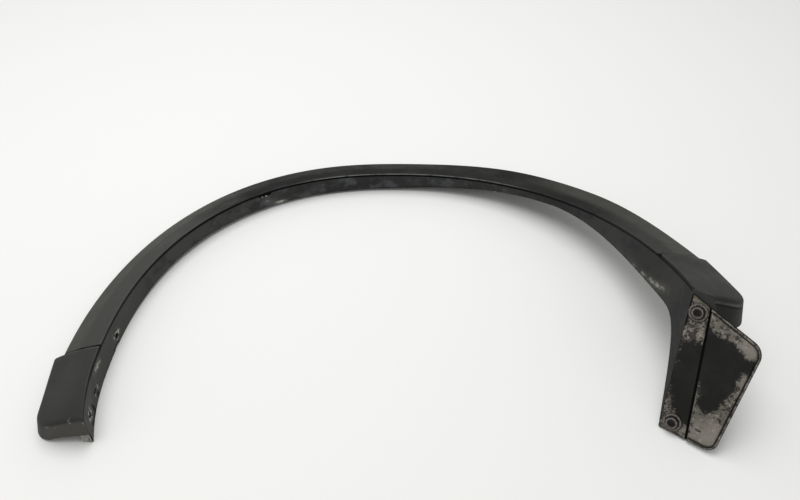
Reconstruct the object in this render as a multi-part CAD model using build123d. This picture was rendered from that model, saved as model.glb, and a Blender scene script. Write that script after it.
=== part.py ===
from build123d import *
import math
import os

# Wheel arch trim with a mud flap, lying face up on a floor.
# X runs along the span, Y up the arch and Z up from the floor.
# While it is drawn, the plan's zero is on the widest line of the arch, midway between its legs.

# Arch: the wheel-side edge of the face, seen in plan and in height
HALF_SPAN = 344.0           # from the middle to the widest place
ARCH_RISE = 360.0           # from the widest line to the crown
LEG_RISE = 300.0            # the same radius below the widest line
SQUARENESS = 2.2            # 2 is an ellipse, more fills the haunches
AXLE_DROP = 45.0            # the wheel axle below the widest line
LEFT_REACH = 103.5          # left end below the widest line
RIGHT_STEP_RISE = 87.0      # right step above the widest line
CROWN_HEIGHT = 33.5         # height of the edge over the floor at the crown
LEFT_CLIMB = 11.5           # further height at the left end
RIGHT_CLIMB = 104.5         # further height at the right end

# Face of the moulding
WALL = 2.8
CROWN_WIDTH = 64.5          # level width of the face
LEFT_WIDTH = 54.5
HAUNCH_WIDTH = 69.5         # on the right haunch
RIGHT_WIDTH = 64.0
FACE_DROP = 26.0            # fall from the wheel-side edge to the outer edge
HAUNCH_DROP = 22.0
RIGHT_DROP = 25.0
CREASE_OUT = 28.0           # soft crease along the face
CREASE_DROP = 9.5
LIP = 0.9                   # overhang of the face past the flange

# Return flange on the wheel side
FLANGE_WALL = 3.0
CROWN_DEPTH = 30.0
WAIST_DEPTH = 16.0          # shallowest place, on the right haunch
RUN_DEPTH = 46.0            # right leg, before the ear
EAR_DEPTH = 164.4           # along the corner of the ear
EAR_SWEEP = 17.0            # how quickly the free edge sweeps down into the ear
EAR_SPREAD = 7.0            # arch angle taken by that sweep
GROOVE_WIDTH = 1.8          # shadow groove under the face
GROOVE_DEPTH = 1.4

# End sections
LEFT_CAP_LENGTH = 104.0
RIGHT_CAP_LENGTH = 82.0
LEFT_CAP_WIDTH = 64.0
RIGHT_CAP_WIDTH = 74.0
LEFT_CAP_DROP = 25.0
RIGHT_CAP_DROP = 26.0
LEFT_HEM = 30.0             # from the edge down to the hem, under the edge itself
RIGHT_STEP_HEM = 38.0
RIGHT_HEM = 54.0
HEM_FALL = 11.0             # further fall of the hem out to the outer wall
CAP_LIP = 1.8               # step of an end section at its wheel-side edge
CAP_CROWN = 3.2             # crown of its face over a straight line
LEFT_CORNER = 34.0          # corner radius in plan
RIGHT_CORNER = 30.0
CAP_DRAFT = 16.0            # outward lean of the outer wall, in degrees
STEP_SKEW = 6.0             # lean of the steps towards the leg ends, in degrees
CAP_ROUND = 8.0             # rounding of the face into the walls
END_SKEW = -2.0             # right end wall against the X axis, in degrees
FOOT_WIDTH = 13.0

# Ear and mud flap, drawn on the ear's own plane from the corner that stands on the floor
EAR_TILT = 33.3             # corner of the ear against the vertical, in degrees
EAR_BEARING = 71.4          # plan direction of that lean, from the X axis
EAR_FACING = 231.1          # plan direction that the ear's front faces
EAR_WALL = 3.0
NOSE_LENGTH = 21.0          # face over the ear's upper edge
EAR_HEAD = 0.4              # the ear's head below its corner, at the edge and under the nose
EAR_FALL = 7.6
STRIP_LOW = 31.5            # strip width at the foot and at the head
STRIP_HIGH = 22.5
STRIP_SLANT = 16.0          # the head of the strip falls by this much across its width
EAR_MARGIN = 7.0            # ear past the strip, under the blade
FLAP_WALL = 3.2
BLADE_LOW = 62.5            # outer corners of the blade, across from the ear's corner
BLADE_HIGH = 84.5
BLADE_FALL = 45.4           # the blade's upper outer corner below the ear's head
FLAP_SAG = 9.2              # fall of the lower edge across the flap
BLADE_ROUND_HIGH = 18.0
BLADE_ROUND_LOW = 12.0
RIM_WIDTH = 3.0
RIM_HEIGHT = 1.2
HINGE_WIDTH = 2.0
HINGE_DEPTH = 1.4

# Fasteners
SCREW_SHANK = 5.0           # diameters
SCREW_HOLE = 5.6
SCREW_HEAD = 14.0
SCREW_WASHER = 21.0
SCREW_SOCKET = 5.5
WASHER_THICK = 1.6
HEAD_HEIGHT = 4.0
SOCKET_DEPTH = 2.6
SCREW_LENGTH = 13.5         # under the washer
SCREW_LOW = (13.6, 9.6)     # across and up the ear
SCREW_HIGH = (10.6, EAR_DEPTH - 24.4)
NUT_SIDE = 17.0
NUT_WALL = 1.5
NUT_BARREL = 9.0
NUT_BARREL_LENGTH = 4.0

CLIP_COUNT = 5
CLIP_FIRST = 36.0           # arch angles of the outermost clips, from the right
CLIP_LAST = 150.0
CLIP_OUT = 21.0             # clip axis from the wheel-side edge
CLIP_HEAD = 14.0            # diameters
CLIP_NECK = 6.4
CLIP_COLLAR = 15.0
CLIP_STUD = 6.8
CLIP_POINT = 3.0
CLIP_HEAD_THICK = 2.0
CLIP_COLLAR_THICK = 1.4
CLIP_STUD_LENGTH = 6.6
CLIP_TIP_LENGTH = 6.0
HOUSE_LENGTH = 24.0
HOUSE_WIDTH = 20.0
HOUSE_DROP = 19.5           # seat of the clip below the wheel-side edge
HOUSE_WALL = 2.0
FIT = 0.3                   # clearance between pieces

RIBS_PER_BAY = 2            # gussets between neighbouring clips
RIB_WALL = 2.0
RIB_OUT = 24.0
RIB_SHARE = 0.75            # depth of a gusset against the flange

# Fixing holes in the left flange, from the widest line and the floor
HOLE_LOW = (-79.0, 19.0)
HOLE_SLOT = (-45.0, 16.0)
HOLE_HIGH = (43.0, 14.0)
HOLE_DIAMETER = 7.0
SLOT_LENGTH = 9.0
SLOT_HEIGHT = 3.5

# Tear under the face on the left haunch
TEAR_ANGLE = 121.5
TEAR_LENGTH = 22.0
TEAR_HEIGHT = 5.0

# Sections along the arch, and how its height and free edge curve
BAND_STATIONS = 15
FLANGE_STATIONS = 22
EAR_STATIONS = 11
CROWN_ANGLE = 95.0          # arch angle at which the edge is lowest
CLIMB_POWER_RIGHT = 2.2
CLIMB_POWER_LEFT = 1.7
SWEEP_POWER = 1.3

# Arch angles between which the face and the flange change, 0 at the right and 180 at the left
LEFT_NARROWS = (100, 168)
HAUNCH_WIDENS = (88, 55)
RIGHT_NARROWS = (42, 14)
HAUNCH_FLATTENS = (88, 60)
RIGHT_STEEPENS = (40, 16)
WAIST_THINS = (100, 52)
RUN_DEEPENS = (48, 8)
LEG_DEEPENS = (135, 178)
TURN_STARTS = 45            # from here on the flange turns into the ear's lean

UP = Vector(0, 0, 1)


def bearing(degrees):
    """Level direction, counted from the X axis."""
    turn = math.radians(degrees)
    return Vector(math.cos(turn), math.sin(turn), 0)


EAR_WAY = (bearing(EAR_BEARING) * math.tan(math.radians(EAR_TILT)) + UP).normalized()


def ease(start, stop, value):
    """0 at start, 1 at stop, with a soft beginning and end."""
    share = min(max((value - start) / (stop - start), 0.0), 1.0)
    return share * share * (3 - 2 * share)


def angle_of(rise, on_left):
    """Arch angle at a distance above the widest line, on one of the legs."""
    reach = ARCH_RISE if rise > 0 else LEG_RISE
    lift = math.degrees(math.asin((abs(rise) / reach) ** (SQUARENESS / 2)))
    lift = math.copysign(lift, rise)
    return 180 - lift if on_left else lift


LEFT_END = angle_of(-LEFT_REACH, True)
LEFT_STEP = angle_of(LEFT_CAP_LENGTH - LEFT_REACH, True)
RIGHT_STEP = angle_of(RIGHT_STEP_RISE, False)
EAR_ANGLE = angle_of(RIGHT_STEP_RISE - RIGHT_CAP_LENGTH, False)


def edge_height(angle):
    """Height over the floor of the face's wheel-side edge."""
    if angle < CROWN_ANGLE:
        share = (CROWN_ANGLE - angle) / (CROWN_ANGLE - EAR_ANGLE)
        return CROWN_HEIGHT + RIGHT_CLIMB * share**CLIMB_POWER_RIGHT
    share = (angle - CROWN_ANGLE) / (LEFT_END - CROWN_ANGLE)
    return CROWN_HEIGHT + LEFT_CLIMB * share**CLIMB_POWER_LEFT


def edge_point(angle):
    """Point on the face's wheel-side edge: a squared ellipse in plan."""
    along = math.cos(math.radians(angle))
    above = math.sin(math.radians(angle))
    reach = ARCH_RISE if above > 0 else LEG_RISE
    power = 2 / SQUARENESS
    x = HALF_SPAN * math.copysign(abs(along) ** power, along)
    y = reach * math.copysign(abs(above) ** power, above)
    return Vector(x, y, edge_height(angle))


def outward(angle):
    """Level direction away from the wheel axle."""
    point = edge_point(angle)
    return Vector(point.X, point.Y + AXLE_DROP, 0).normalized()


def tangent(angle, step=0.05):
    return (edge_point(angle + step) - edge_point(angle - step)).normalized()


def upright_plane(origin, way):
    """Plane with its x along a level direction and its y up."""
    return Plane(origin, x_dir=way, z_dir=way.cross(UP))


def station(angle):
    return upright_plane(edge_point(angle), outward(angle))


def riser_plane(step, skew):
    """Plane of a step between the face and an end section, facing the end of the leg."""
    way = outward(step).rotate(Axis.Z, skew)
    facing = way.cross(UP)
    return Plane(edge_point(step), x_dir=way, z_dir=facing if facing.Y < 0 else facing * -1)


def spread(start, stop, count):
    return [start + (stop - start) * i / (count - 1) for i in range(count)]


def polygon_on(plane, points):
    return Wire.make_polygon([plane.from_local_coords(p) for p in points], close=True)


def prism(plane, points, thickness, both=False):
    """Plate of a flat outline, along the plane's normal."""
    outline = Face(Wire.make_polygon([Vector(*p) for p in points], close=True))
    return extrude(plane * outline, amount=thickness, both=both)


# Face of the arch
def face_width(angle):
    left = (LEFT_WIDTH - CROWN_WIDTH) * ease(*LEFT_NARROWS, angle)
    haunch = (HAUNCH_WIDTH - CROWN_WIDTH) * ease(*HAUNCH_WIDENS, angle)
    right = (RIGHT_WIDTH - HAUNCH_WIDTH) * ease(*RIGHT_NARROWS, angle)
    return CROWN_WIDTH + left + haunch + right


def face_drop(angle):
    haunch = (HAUNCH_DROP - FACE_DROP) * ease(*HAUNCH_FLATTENS, angle)
    right = (RIGHT_DROP - HAUNCH_DROP) * ease(*RIGHT_STEEPENS, angle)
    return FACE_DROP + haunch + right


def face_profile(angle, sink=0.0):
    """Upper line of the face, from its wheel-side edge to its outer edge."""
    return [
        (0, -sink),
        (CREASE_OUT, -CREASE_DROP - sink),
        (face_width(angle), -face_drop(angle) - sink),
    ]


def face_band():
    sections = []
    for angle in spread(RIGHT_STEP - STEP_SKEW / 2, LEFT_STEP + STEP_SKEW / 2, BAND_STATIONS):
        upper = face_profile(angle)
        lower = face_profile(angle, WALL)
        sections.append(polygon_on(station(angle), upper + lower[::-1]))
    band = Solid.make_loft(sections)
    for plane in (riser_plane(RIGHT_STEP, -STEP_SKEW), riser_plane(LEFT_STEP, STEP_SKEW)):
        band = band - plane.offset(WALL / 2) * extrude(Rectangle(2 * EAR_DEPTH, 2 * EAR_DEPTH), amount=EAR_DEPTH)
    return band


def under_face(angles, sink):
    """Everything below the face, sunk into its wall by a given depth."""
    sections = []
    for angle in angles:
        upper = face_profile(angle, sink)
        deep = -EAR_DEPTH
        shape = upper + [(upper[-1][0], deep), (0, deep)]
        sections.append(polygon_on(station(angle), shape))
    return Solid.make_loft(sections)


# Return flange
def flange_depth(angle):
    depth = CROWN_DEPTH
    depth -= (CROWN_DEPTH - WAIST_DEPTH) * ease(*WAIST_THINS, angle)
    depth += (RUN_DEPTH - WAIST_DEPTH) * ease(*RUN_DEEPENS, angle)
    depth += (edge_height(angle) - CROWN_DEPTH) * ease(*LEG_DEEPENS, angle)
    if angle < CROWN_ANGLE:
        distance = (edge_point(angle) - edge_point(EAR_ANGLE)).length
        depth += (EAR_DEPTH - RUN_DEPTH) * math.exp(-((distance / EAR_SWEEP) ** SWEEP_POWER))
    return depth


def flange_way(angle):
    """Direction from the face down to the free edge, which turns along the ear's corner."""
    turn = min(max((TURN_STARTS - angle) / (TURN_STARTS - EAR_ANGLE), 0.0), 1.0)
    way = UP * (turn - 1) - EAR_WAY * turn
    return way.normalized()


def flange_across(angle):
    """Direction through the flange's wall, away from the wheel."""
    across = flange_way(angle).cross(tangent(angle)).normalized()
    return across if across.dot(outward(angle)) > 0 else across * -1


def flange_section(angle):
    """Section of the flange, with a shadow groove just under the face."""
    edge = edge_point(angle)
    way = flange_way(angle)
    across = flange_across(angle)
    ledge = WALL + GROOVE_WIDTH
    depth = flange_depth(angle)
    corners = [
        (LIP + GROOVE_DEPTH, WALL / 2),
        (LIP + GROOVE_DEPTH, ledge),
        (LIP, ledge),
        (LIP, depth),
        (LIP + FLANGE_WALL, depth),
        (LIP + FLANGE_WALL, WALL / 2),
    ]
    return Wire.make_polygon([edge + across * a + way * d for a, d in corners], close=True)


def flange():
    """Smooth run along the arch, then short straight strakes that sweep down into the ear."""
    near_ear = EAR_ANGLE + EAR_SPREAD
    run = [flange_section(angle) for angle in spread(LEFT_END, near_ear, FLANGE_STATIONS)]
    sweep = [flange_section(angle) for angle in spread(near_ear, EAR_ANGLE, EAR_STATIONS)]
    return Solid.make_loft(run) + Solid.make_loft(sweep, True)


# End sections
def cap_profile(width, drop, out):
    """Height of an end section's crowned face, out from its wheel-side edge."""
    share = out / width
    return CAP_LIP - (CAP_LIP + drop) * share + 4 * CAP_CROWN * share * (1 - share)


def cap_roof(step, end, ways, width, drop, sink, hems, over):
    """Block under the crowned face of an end section, larger than its plan."""
    overrun = (end - step) / 4
    sections = []
    for angle, way, hem in zip(spread(step - overrun, end + overrun, 3), ways, spread(*hems, 3)):
        plane = upright_plane(edge_point(angle) - UP * sink, way)
        outs = spread(-over, width + over, 6)
        crown = [plane.from_local_coords((out, cap_profile(width, drop, out))) for out in outs]
        deep = [plane.from_local_coords((out, -hem - HEM_FALL * out / width)) for out in (outs[0], outs[-1])]
        sections.append(Wire([
            Spline(*crown),
            Line(crown[-1], deep[1]),
            Line(deep[1], deep[0]),
            Line(deep[0], crown[0]),
        ]))
    return Solid.make_loft(sections)


def level(point):
    return Vector(point.X, point.Y, 0)


def cap_plan(side, front, far_step, corner, height, push):
    """Plan of an end section at a height, with its outer wall pushed out."""
    far_end = front[-1] + push[1]
    points = [side[2], *front[:-1], far_end, far_step + push[0], side[0]]
    lines = [Line(a, b) for a, b in zip(points[:-1], points[1:])]
    plan = Face(Wire([ThreePointArc(*side), *lines]))
    outer = plan.vertices().sort_by_distance(far_end)[0]
    return (Pos(0, 0, height) * plan.fillet_2d(corner, [outer])).outer_wire()


def cap_block(side, front, far_step, corner, roof, radius, ways, brims, crest):
    """End section under its roof: outer wall with draft, outer and end rims rounded."""
    plans = []
    lean = math.tan(math.radians(CAP_DRAFT))
    for height in (0, crest):
        push = [way * (brim - height) * lean for way, brim in zip(ways, brims)]
        plans.append(cap_plan(side, front, far_step, corner, height, push))
    block = Solid.make_loft(plans, True) & roof
    face = block.faces().filter_by(lambda f: abs(f.normal_at().Z) > 0.5).sort_by(Axis.Z)[-1]
    square = [side[1], (side[0] + far_step) / 2, (side[2] + front[0]) / 2]
    if len(front) == 1:
        square.pop()
    rim = [e for e in face.edges() if min((level(e @ 0.5) - p).length for p in square) > CAP_ROUND]
    return fillet(rim, radius)


def end_cap(step, end, skew, end_way, width, drop, hems, corner, nose):
    """Hollow end section: crowned face, outer wall, end wall and riser at the step."""
    riser = riser_plane(step, skew)
    step_way = riser.x_dir
    ways = [step_way, (step_way + end_way).normalized(), end_way]
    side = [level(edge_point(angle)) for angle in (step, (step + end) / 2, end)]
    tip = side[2] + nose
    far_end = side[2] + end_way * width
    far_step = side[0] + step_way * width
    front = [tip, far_end] if nose.length > 0 else [far_end]
    brims = [edge_height(angle) - drop for angle in (step, end)]
    walls = (step_way, end_way)
    crest = edge_height(end) + CAP_ROUND
    roof = cap_roof(step, end, ways, width, drop, 0, hems, corner)
    body = cap_block(side, front, far_step, corner, roof, CAP_ROUND, walls, brims, crest)

    wall_way = (far_end - tip).normalized()
    back = (side[0] - side[2]).normalized()
    inward = wall_way.cross(UP)
    inward = inward if inward.dot(back) > 0 else inward * -1
    open_side = [p - way * corner for p, way in zip(side, ways)]
    open_side[0] = open_side[0] - back * WALL
    open_side[2] = open_side[2] + back * WALL
    inner_front = [tip + inward * WALL, far_end + (inward - wall_way) * WALL]
    inner_step = far_step - (step_way + back) * WALL
    deep = 2 * max(hems)
    ceiling = cap_roof(step, end, ways, width, drop, WALL, (deep, deep), corner)
    hollow = cap_block(open_side, inner_front, inner_step, corner - WALL, ceiling, CAP_ROUND - WALL, walls,
                       brims, crest)

    slab = riser * extrude(Rectangle(2 * EAR_DEPTH, 2 * EAR_DEPTH), amount=2 * WALL, both=True)
    channel = slab & under_face(spread(step - STEP_SKEW / 2, step + STEP_SKEW / 2, 3), WALL)
    return body - hollow - channel


def left_foot():
    """Part of the left end wall that reaches the floor beside the flange."""
    fall = edge_height(LEFT_END)
    top = WALL - LEFT_HEM
    outline = [(LIP, -fall), (FOOT_WIDTH, -fall), (FOOT_WIDTH, top), (LIP, top)]
    return prism(upright_plane(edge_point(LEFT_END), bearing(180)), outline, WALL)


# Ear, mud flap and their fasteners
def ear_plane():
    """Front of the ear, with its zero at the corner on the floor."""
    front = bearing(EAR_FACING)
    front = (front - UP * (front.dot(EAR_WAY) / EAR_WAY.Z)).normalized()
    foot = edge_point(EAR_ANGLE) + flange_across(EAR_ANGLE) * LIP - EAR_WAY * EAR_DEPTH
    return Plane(foot, x_dir=EAR_WAY.cross(front), z_dir=front)


EAR = ear_plane()


def lower_edge(across):
    """Lower edge of the flap, falling away from the ear's corner."""
    return -FLAP_SAG * across / BLADE_LOW


def post(plane, start, stop, diameter):
    """Round bar along a plane's normal."""
    return plane.offset(start) * extrude(Circle(diameter / 2), amount=stop - start)


def on_ear(spot):
    return Plane(EAR.from_local_coords(spot), x_dir=EAR.x_dir, z_dir=EAR.z_dir)


def ear():
    low = STRIP_LOW + EAR_MARGIN
    high = STRIP_HIGH + EAR_MARGIN
    outline = [
        (FIT, EAR_WALL),
        (low, lower_edge(low)),
        (high, EAR_DEPTH - STRIP_SLANT - EAR_MARGIN),
        (NOSE_LENGTH, EAR_DEPTH - EAR_FALL),
        (FIT, EAR_DEPTH - EAR_HEAD),
    ]
    return prism(EAR.offset(-EAR_WALL), outline, EAR_WALL)


def mud_flap():
    head = EAR_DEPTH - WALL - GROOVE_WIDTH
    corners = [
        (0, 0),
        (BLADE_LOW, -FLAP_SAG),
        (BLADE_HIGH, EAR_DEPTH - BLADE_FALL),
        (STRIP_HIGH, EAR_DEPTH - STRIP_SLANT),
        (0, head),
    ]
    outline = Face(Wire.make_polygon([Vector(*p) for p in corners], close=True))
    for corner, radius in ((corners[1], BLADE_ROUND_LOW), (corners[2], BLADE_ROUND_HIGH)):
        vertex = outline.vertices().sort_by_distance(Vector(*corner))[0]
        outline = outline.fillet_2d(radius, [vertex])
    plate = extrude(EAR * outline, amount=FLAP_WALL)

    bead = outline - offset(outline, amount=-RIM_WIDTH)
    bead = extrude(EAR * bead, amount=FLAP_WALL + RIM_HEIGHT)
    reach = 2 * EAR_DEPTH
    slope = (STRIP_HIGH - STRIP_LOW) / (EAR_DEPTH - STRIP_SLANT)
    top, bottom = STRIP_LOW + slope * reach, STRIP_LOW - slope * reach
    strip = prism(EAR, [(-reach, -reach), (bottom, -reach), (top, reach), (-reach, reach)], reach)
    half = HINGE_WIDTH / 2
    line = [(bottom - half, -reach), (bottom + half, -reach), (top + half, reach), (top - half, reach)]
    crease = prism(EAR.offset(FLAP_WALL - HINGE_DEPTH), line, HINGE_DEPTH + RIM_HEIGHT)
    flap = plate + (bead - strip) - crease
    for spot in (SCREW_LOW, SCREW_HIGH):
        flap = flap - post(on_ear(spot), -EAR_WALL, 2 * FLAP_WALL, SCREW_HOLE)
    return flap


def screw(spot):
    """Washer-head screw through the flap and the ear."""
    seat = on_ear(spot).offset(FLAP_WALL)
    top = WASHER_THICK + HEAD_HEIGHT
    head = post(seat, WASHER_THICK / 2, top, SCREW_HEAD)
    rim = [e for e in head.edges() if seat.to_local_coords(e.center()).Z > WASHER_THICK]
    head = chamfer(rim, HEAD_HEIGHT / 4)
    socket = seat.offset(top - SOCKET_DEPTH) * extrude(RegularPolygon(SCREW_SOCKET / 2, 6), amount=HEAD_HEIGHT)
    body = head + post(seat, 0, WASHER_THICK, SCREW_WASHER) + post(seat, -SCREW_LENGTH, WASHER_THICK, SCREW_SHANK)
    return body - socket


def nut(spot):
    """Plate nut behind the ear."""
    back = on_ear(spot).offset(-EAR_WALL)
    plate = back.offset(-NUT_WALL) * extrude(Rectangle(NUT_SIDE, NUT_SIDE), amount=NUT_WALL)
    body = plate + post(back, -NUT_WALL - NUT_BARREL_LENGTH, -NUT_WALL / 2, NUT_BARREL)
    return body - post(back, -SCREW_LENGTH, FIT, SCREW_SHANK + FIT)


# Clips and the back of the face
CLIP_ANGLES = spread(CLIP_FIRST, CLIP_LAST, CLIP_COUNT)


def clip_plane(angle):
    """Seat of a clip: x away from the wheel, normal up."""
    way = outward(angle)
    seat = edge_point(angle) + way * CLIP_OUT - UP * HOUSE_DROP
    return Plane(seat, x_dir=way, z_dir=UP)


def clip_house(angle):
    """Box under the face, open at one end, with a slot for the clip's neck."""
    seat = clip_plane(angle)
    tall = HOUSE_DROP + WALL
    block = seat * extrude(Rectangle(HOUSE_WIDTH, HOUSE_LENGTH), amount=tall)
    room = seat.offset(HOUSE_WALL) * extrude(
        Pos(0, HOUSE_WALL) * Rectangle(HOUSE_WIDTH - 2 * HOUSE_WALL, HOUSE_LENGTH), amount=tall)
    neck = CLIP_NECK + 2 * FIT
    slot = Circle(neck / 2) + Pos(0, HOUSE_LENGTH / 2) * Rectangle(neck, HOUSE_LENGTH)
    return block - room - seat.offset(-FIT) * extrude(slot, amount=HOUSE_WALL + 2 * FIT)


def gusset(angle):
    """Triangular rib between the flange and the face."""
    depth = RIB_SHARE * flange_depth(angle)
    inner = LIP + FLANGE_WALL / 2
    slope = CREASE_DROP / CREASE_OUT
    outline = [
        (inner, -inner * slope - WALL / 2),
        (RIB_OUT, -RIB_OUT * slope - WALL / 2),
        (RIB_OUT, -RIB_OUT * slope - 2 * WALL),
        (inner + FLANGE_WALL, -depth),
        (inner, -depth),
    ]
    return prism(station(angle), outline, RIB_WALL / 2, both=True)


def body_clip(angle):
    """Press-in clip: square head in its house, collar, stud and tapered tip."""
    seat = clip_plane(angle)
    head = seat.offset(HOUSE_WALL) * extrude(Rectangle(CLIP_HEAD, CLIP_HEAD), amount=CLIP_HEAD_THICK)
    neck = post(seat, -CLIP_COLLAR_THICK, HOUSE_WALL + CLIP_HEAD_THICK, CLIP_NECK)
    collar = post(seat, -CLIP_COLLAR_THICK, 0, CLIP_COLLAR)
    foot = -CLIP_COLLAR_THICK - CLIP_STUD_LENGTH
    stud = post(seat, foot, -CLIP_COLLAR_THICK, CLIP_STUD)
    tip = seat.offset(foot - CLIP_TIP_LENGTH) * Cone(
        CLIP_POINT / 2, CLIP_STUD / 2, CLIP_TIP_LENGTH, align=(Align.CENTER, Align.CENTER, Align.MIN))
    return head + neck + collar + stud + tip


# Openings in the flange
def flange_cut(rise, height, length, tall):
    """Slot through the left flange, round when its length equals its height."""
    angle = angle_of(rise, True)
    spot = level(edge_point(angle)) + UP * height
    plane = Plane(spot, x_dir=UP, z_dir=flange_across(angle))
    shape = Circle(tall / 2) if length <= tall else SlotOverall(length, tall, rotation=90)
    return extrude(plane * shape, amount=FOOT_WIDTH, both=True)


def tear():
    """Jagged opening in the flange, just under the shadow groove."""
    top = edge_point(TEAR_ANGLE) - UP * (WALL + GROOVE_WIDTH)
    plane = Plane(top, x_dir=tangent(TEAR_ANGLE) * -1, z_dir=outward(TEAR_ANGLE))
    half = TEAR_LENGTH / 2
    jagged = [
        (-half, 0),
        (half, 0),
        (half * 0.7, TEAR_HEIGHT * 0.8),
        (half * 0.2, TEAR_HEIGHT * 0.5),
        (-half * 0.3, TEAR_HEIGHT),
        (-half * 0.8, TEAR_HEIGHT * 0.6),
    ]
    return prism(plane, jagged, 2 * FLANGE_WALL, both=True)


def backing():
    """Clip houses under the face, with gussets in each bay after a clip."""
    pieces = []
    bay = (CLIP_LAST - CLIP_FIRST) / (CLIP_COUNT - 1) / (RIBS_PER_BAY + 1)
    for angle in CLIP_ANGLES:
        pieces.append(clip_house(angle) & under_face([angle - bay, angle, angle + bay], WALL / 2))
        pieces += [gusset(angle + bay * (rib + 1)) for rib in range(RIBS_PER_BAY)]
    return pieces


def openings():
    round_holes = [flange_cut(*spot, HOLE_DIAMETER, HOLE_DIAMETER) for spot in (HOLE_LOW, HOLE_HIGH)]
    screw_holes = [post(on_ear(spot), -2 * EAR_WALL, FIT, SCREW_HOLE) for spot in (SCREW_LOW, SCREW_HIGH)]
    return round_holes + screw_holes + [flange_cut(*HOLE_SLOT, SLOT_LENGTH, SLOT_HEIGHT), tear()]


def arch_moulding():
    left_hems = (LEFT_HEM, LEFT_HEM)
    left = end_cap(LEFT_STEP, LEFT_END, STEP_SKEW, bearing(180), LEFT_CAP_WIDTH, LEFT_CAP_DROP, left_hems,
                   LEFT_CORNER, Vector(0, 0, 0))
    nose = bearing(EAR_FACING + 90) * NOSE_LENGTH
    right_hems = (RIGHT_STEP_HEM, RIGHT_HEM)
    right = end_cap(RIGHT_STEP, EAR_ANGLE, -STEP_SKEW, bearing(END_SKEW), RIGHT_CAP_WIDTH, RIGHT_CAP_DROP,
                    right_hems, RIGHT_CORNER, nose)
    arch = face_band() + flange()
    arch = arch + [left, left_foot(), right, ear()]
    arch = arch + backing()
    return arch - openings()


os.makedirs("parts", exist_ok=True)
nodes = {
    "arch_moulding": arch_moulding(),
    "mud_flap": mud_flap(),
    "flap_screws": Compound([screw(SCREW_LOW), screw(SCREW_HIGH)]),
    "flap_nuts": Compound([nut(SCREW_LOW), nut(SCREW_HIGH)]),
    "body_clips": Compound([body_clip(angle) for angle in CLIP_ANGLES]),
}
whole = Compound(list(nodes.values())).bounding_box()
shift = Pos(-whole.center().X, -whole.center().Y, -whole.min.Z)
for name, shape in nodes.items():
    export_step(shift * shape, f"parts/{name}.step")
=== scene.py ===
import math
import random

import bmesh
import bpy
import numpy as np
from mathutils import Matrix


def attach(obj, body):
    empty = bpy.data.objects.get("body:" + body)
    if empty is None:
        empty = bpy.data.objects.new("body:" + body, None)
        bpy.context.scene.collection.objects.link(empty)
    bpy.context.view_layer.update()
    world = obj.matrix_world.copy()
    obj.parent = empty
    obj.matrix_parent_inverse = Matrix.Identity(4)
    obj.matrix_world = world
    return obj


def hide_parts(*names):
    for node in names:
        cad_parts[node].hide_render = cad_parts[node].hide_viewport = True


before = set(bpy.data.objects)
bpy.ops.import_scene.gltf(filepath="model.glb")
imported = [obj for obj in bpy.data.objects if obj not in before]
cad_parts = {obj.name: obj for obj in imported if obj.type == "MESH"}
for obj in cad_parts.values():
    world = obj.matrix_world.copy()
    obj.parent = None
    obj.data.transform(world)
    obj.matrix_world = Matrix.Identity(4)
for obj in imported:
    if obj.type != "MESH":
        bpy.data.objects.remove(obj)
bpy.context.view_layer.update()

# The trim is drawn in millimetres with its plan's zero midway between the legs, on their widest line.
# SHIFT takes that drawing into the row frame. Arch angles are degrees round that zero, from the right leg
# over the crown to the left leg.
SHIFT = np.array([-6.234, -153.0091, 0.218])
UP = np.array([0.0, 0.0, 1.0])
AT_ORIGIN = np.zeros(3)

# Zones of the moulding past the face and the flange: end sections, and broken or cut edges
END_ZONE, EDGE_ZONE = 2.0, 3.0

# Arch: wheel-side edge of the face
HALF_SPAN, ARCH_RISE, LEG_RISE, SQUARENESS = 344.0, 360.0, 300.0, 2.2
AXLE_DROP = 45.0
CROWN_HEIGHT, LEFT_CLIMB, RIGHT_CLIMB = 33.5, 11.5, 104.5
LEFT_CLIMB_POWER, RIGHT_CLIMB_POWER = 1.7, 2.2
CROWN_ANGLE = 95.0
LEFT_REACH, LEFT_CAP_LENGTH = 103.5, 104.0
RIGHT_STEP_RISE, RIGHT_CAP_LENGTH = 87.0, 82.0

# Face and flange
WALL, LIP = 2.8, 0.9
CROWN_WIDTH, LEFT_NARROWER, WAIST_WIDER, RIGHT_NARROWER = 64.5, 10.0, 5.0, 5.5
CROWN_FALL, WAIST_FLATTER, RIGHT_STEEPER = 26.0, 4.0, 3.0
CREASE_OUT, CREASE_DROP, OUTER_SLOPE = 28.0, 9.5, 0.45
FLANGE_WALL, GROOVE_WIDTH, GROOVE_DEPTH = 3.0, 1.8, 1.4
CROWN_DEPTH, WAIST_DEPTH, RUN_DEPTH, EAR_DEPTH = 30.0, 16.0, 46.0, 164.4
EAR_SWEEP, EAR_SWEEP_POWER, LEAN_START = 17.0, 1.3, 45.0
GROOVE_FLOOR = WALL + GROOVE_WIDTH

# Holes of the left flange: rise along the leg and height, then width or length and height of the opening
HOLE_LOW, HOLE_HIGH, HOLE_SIZE = (-79, 19), (43, 14), (7, 7)
SLOT, SLOT_SIZE = (-45, 16), (9, 3.5)
NOTCH, NOTCH_SIZE = (36, 0.4), (13, 5)
TEAR_ANGLE = 121.5

# End sections
LEFT_CAP_WIDTH, RIGHT_CAP_WIDTH = 63.7, 73.3
LEFT_CAP_DROP, RIGHT_CAP_DROP = 25.0, 26.0
LEFT_HEM, RIGHT_STEP_HEM, RIGHT_HEM, HEM_FALL = 30.0, 38.0, 54.0, 11.0
CAP_LIP, CAP_CROWN, CAP_ROUND = 1.8, 3.2, 8.0
LEFT_CORNER, RIGHT_CORNER, CAP_DRAFT, STEP_SKEW = 34.0, 30.0, 16.0, 6.0
END_SKEW, FOOT_WIDTH, NOSE_LENGTH = -2.0, 13.0, 21.0
BEAD_FALL, BEAD_HEIGHT = 9.0, 0.9

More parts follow.
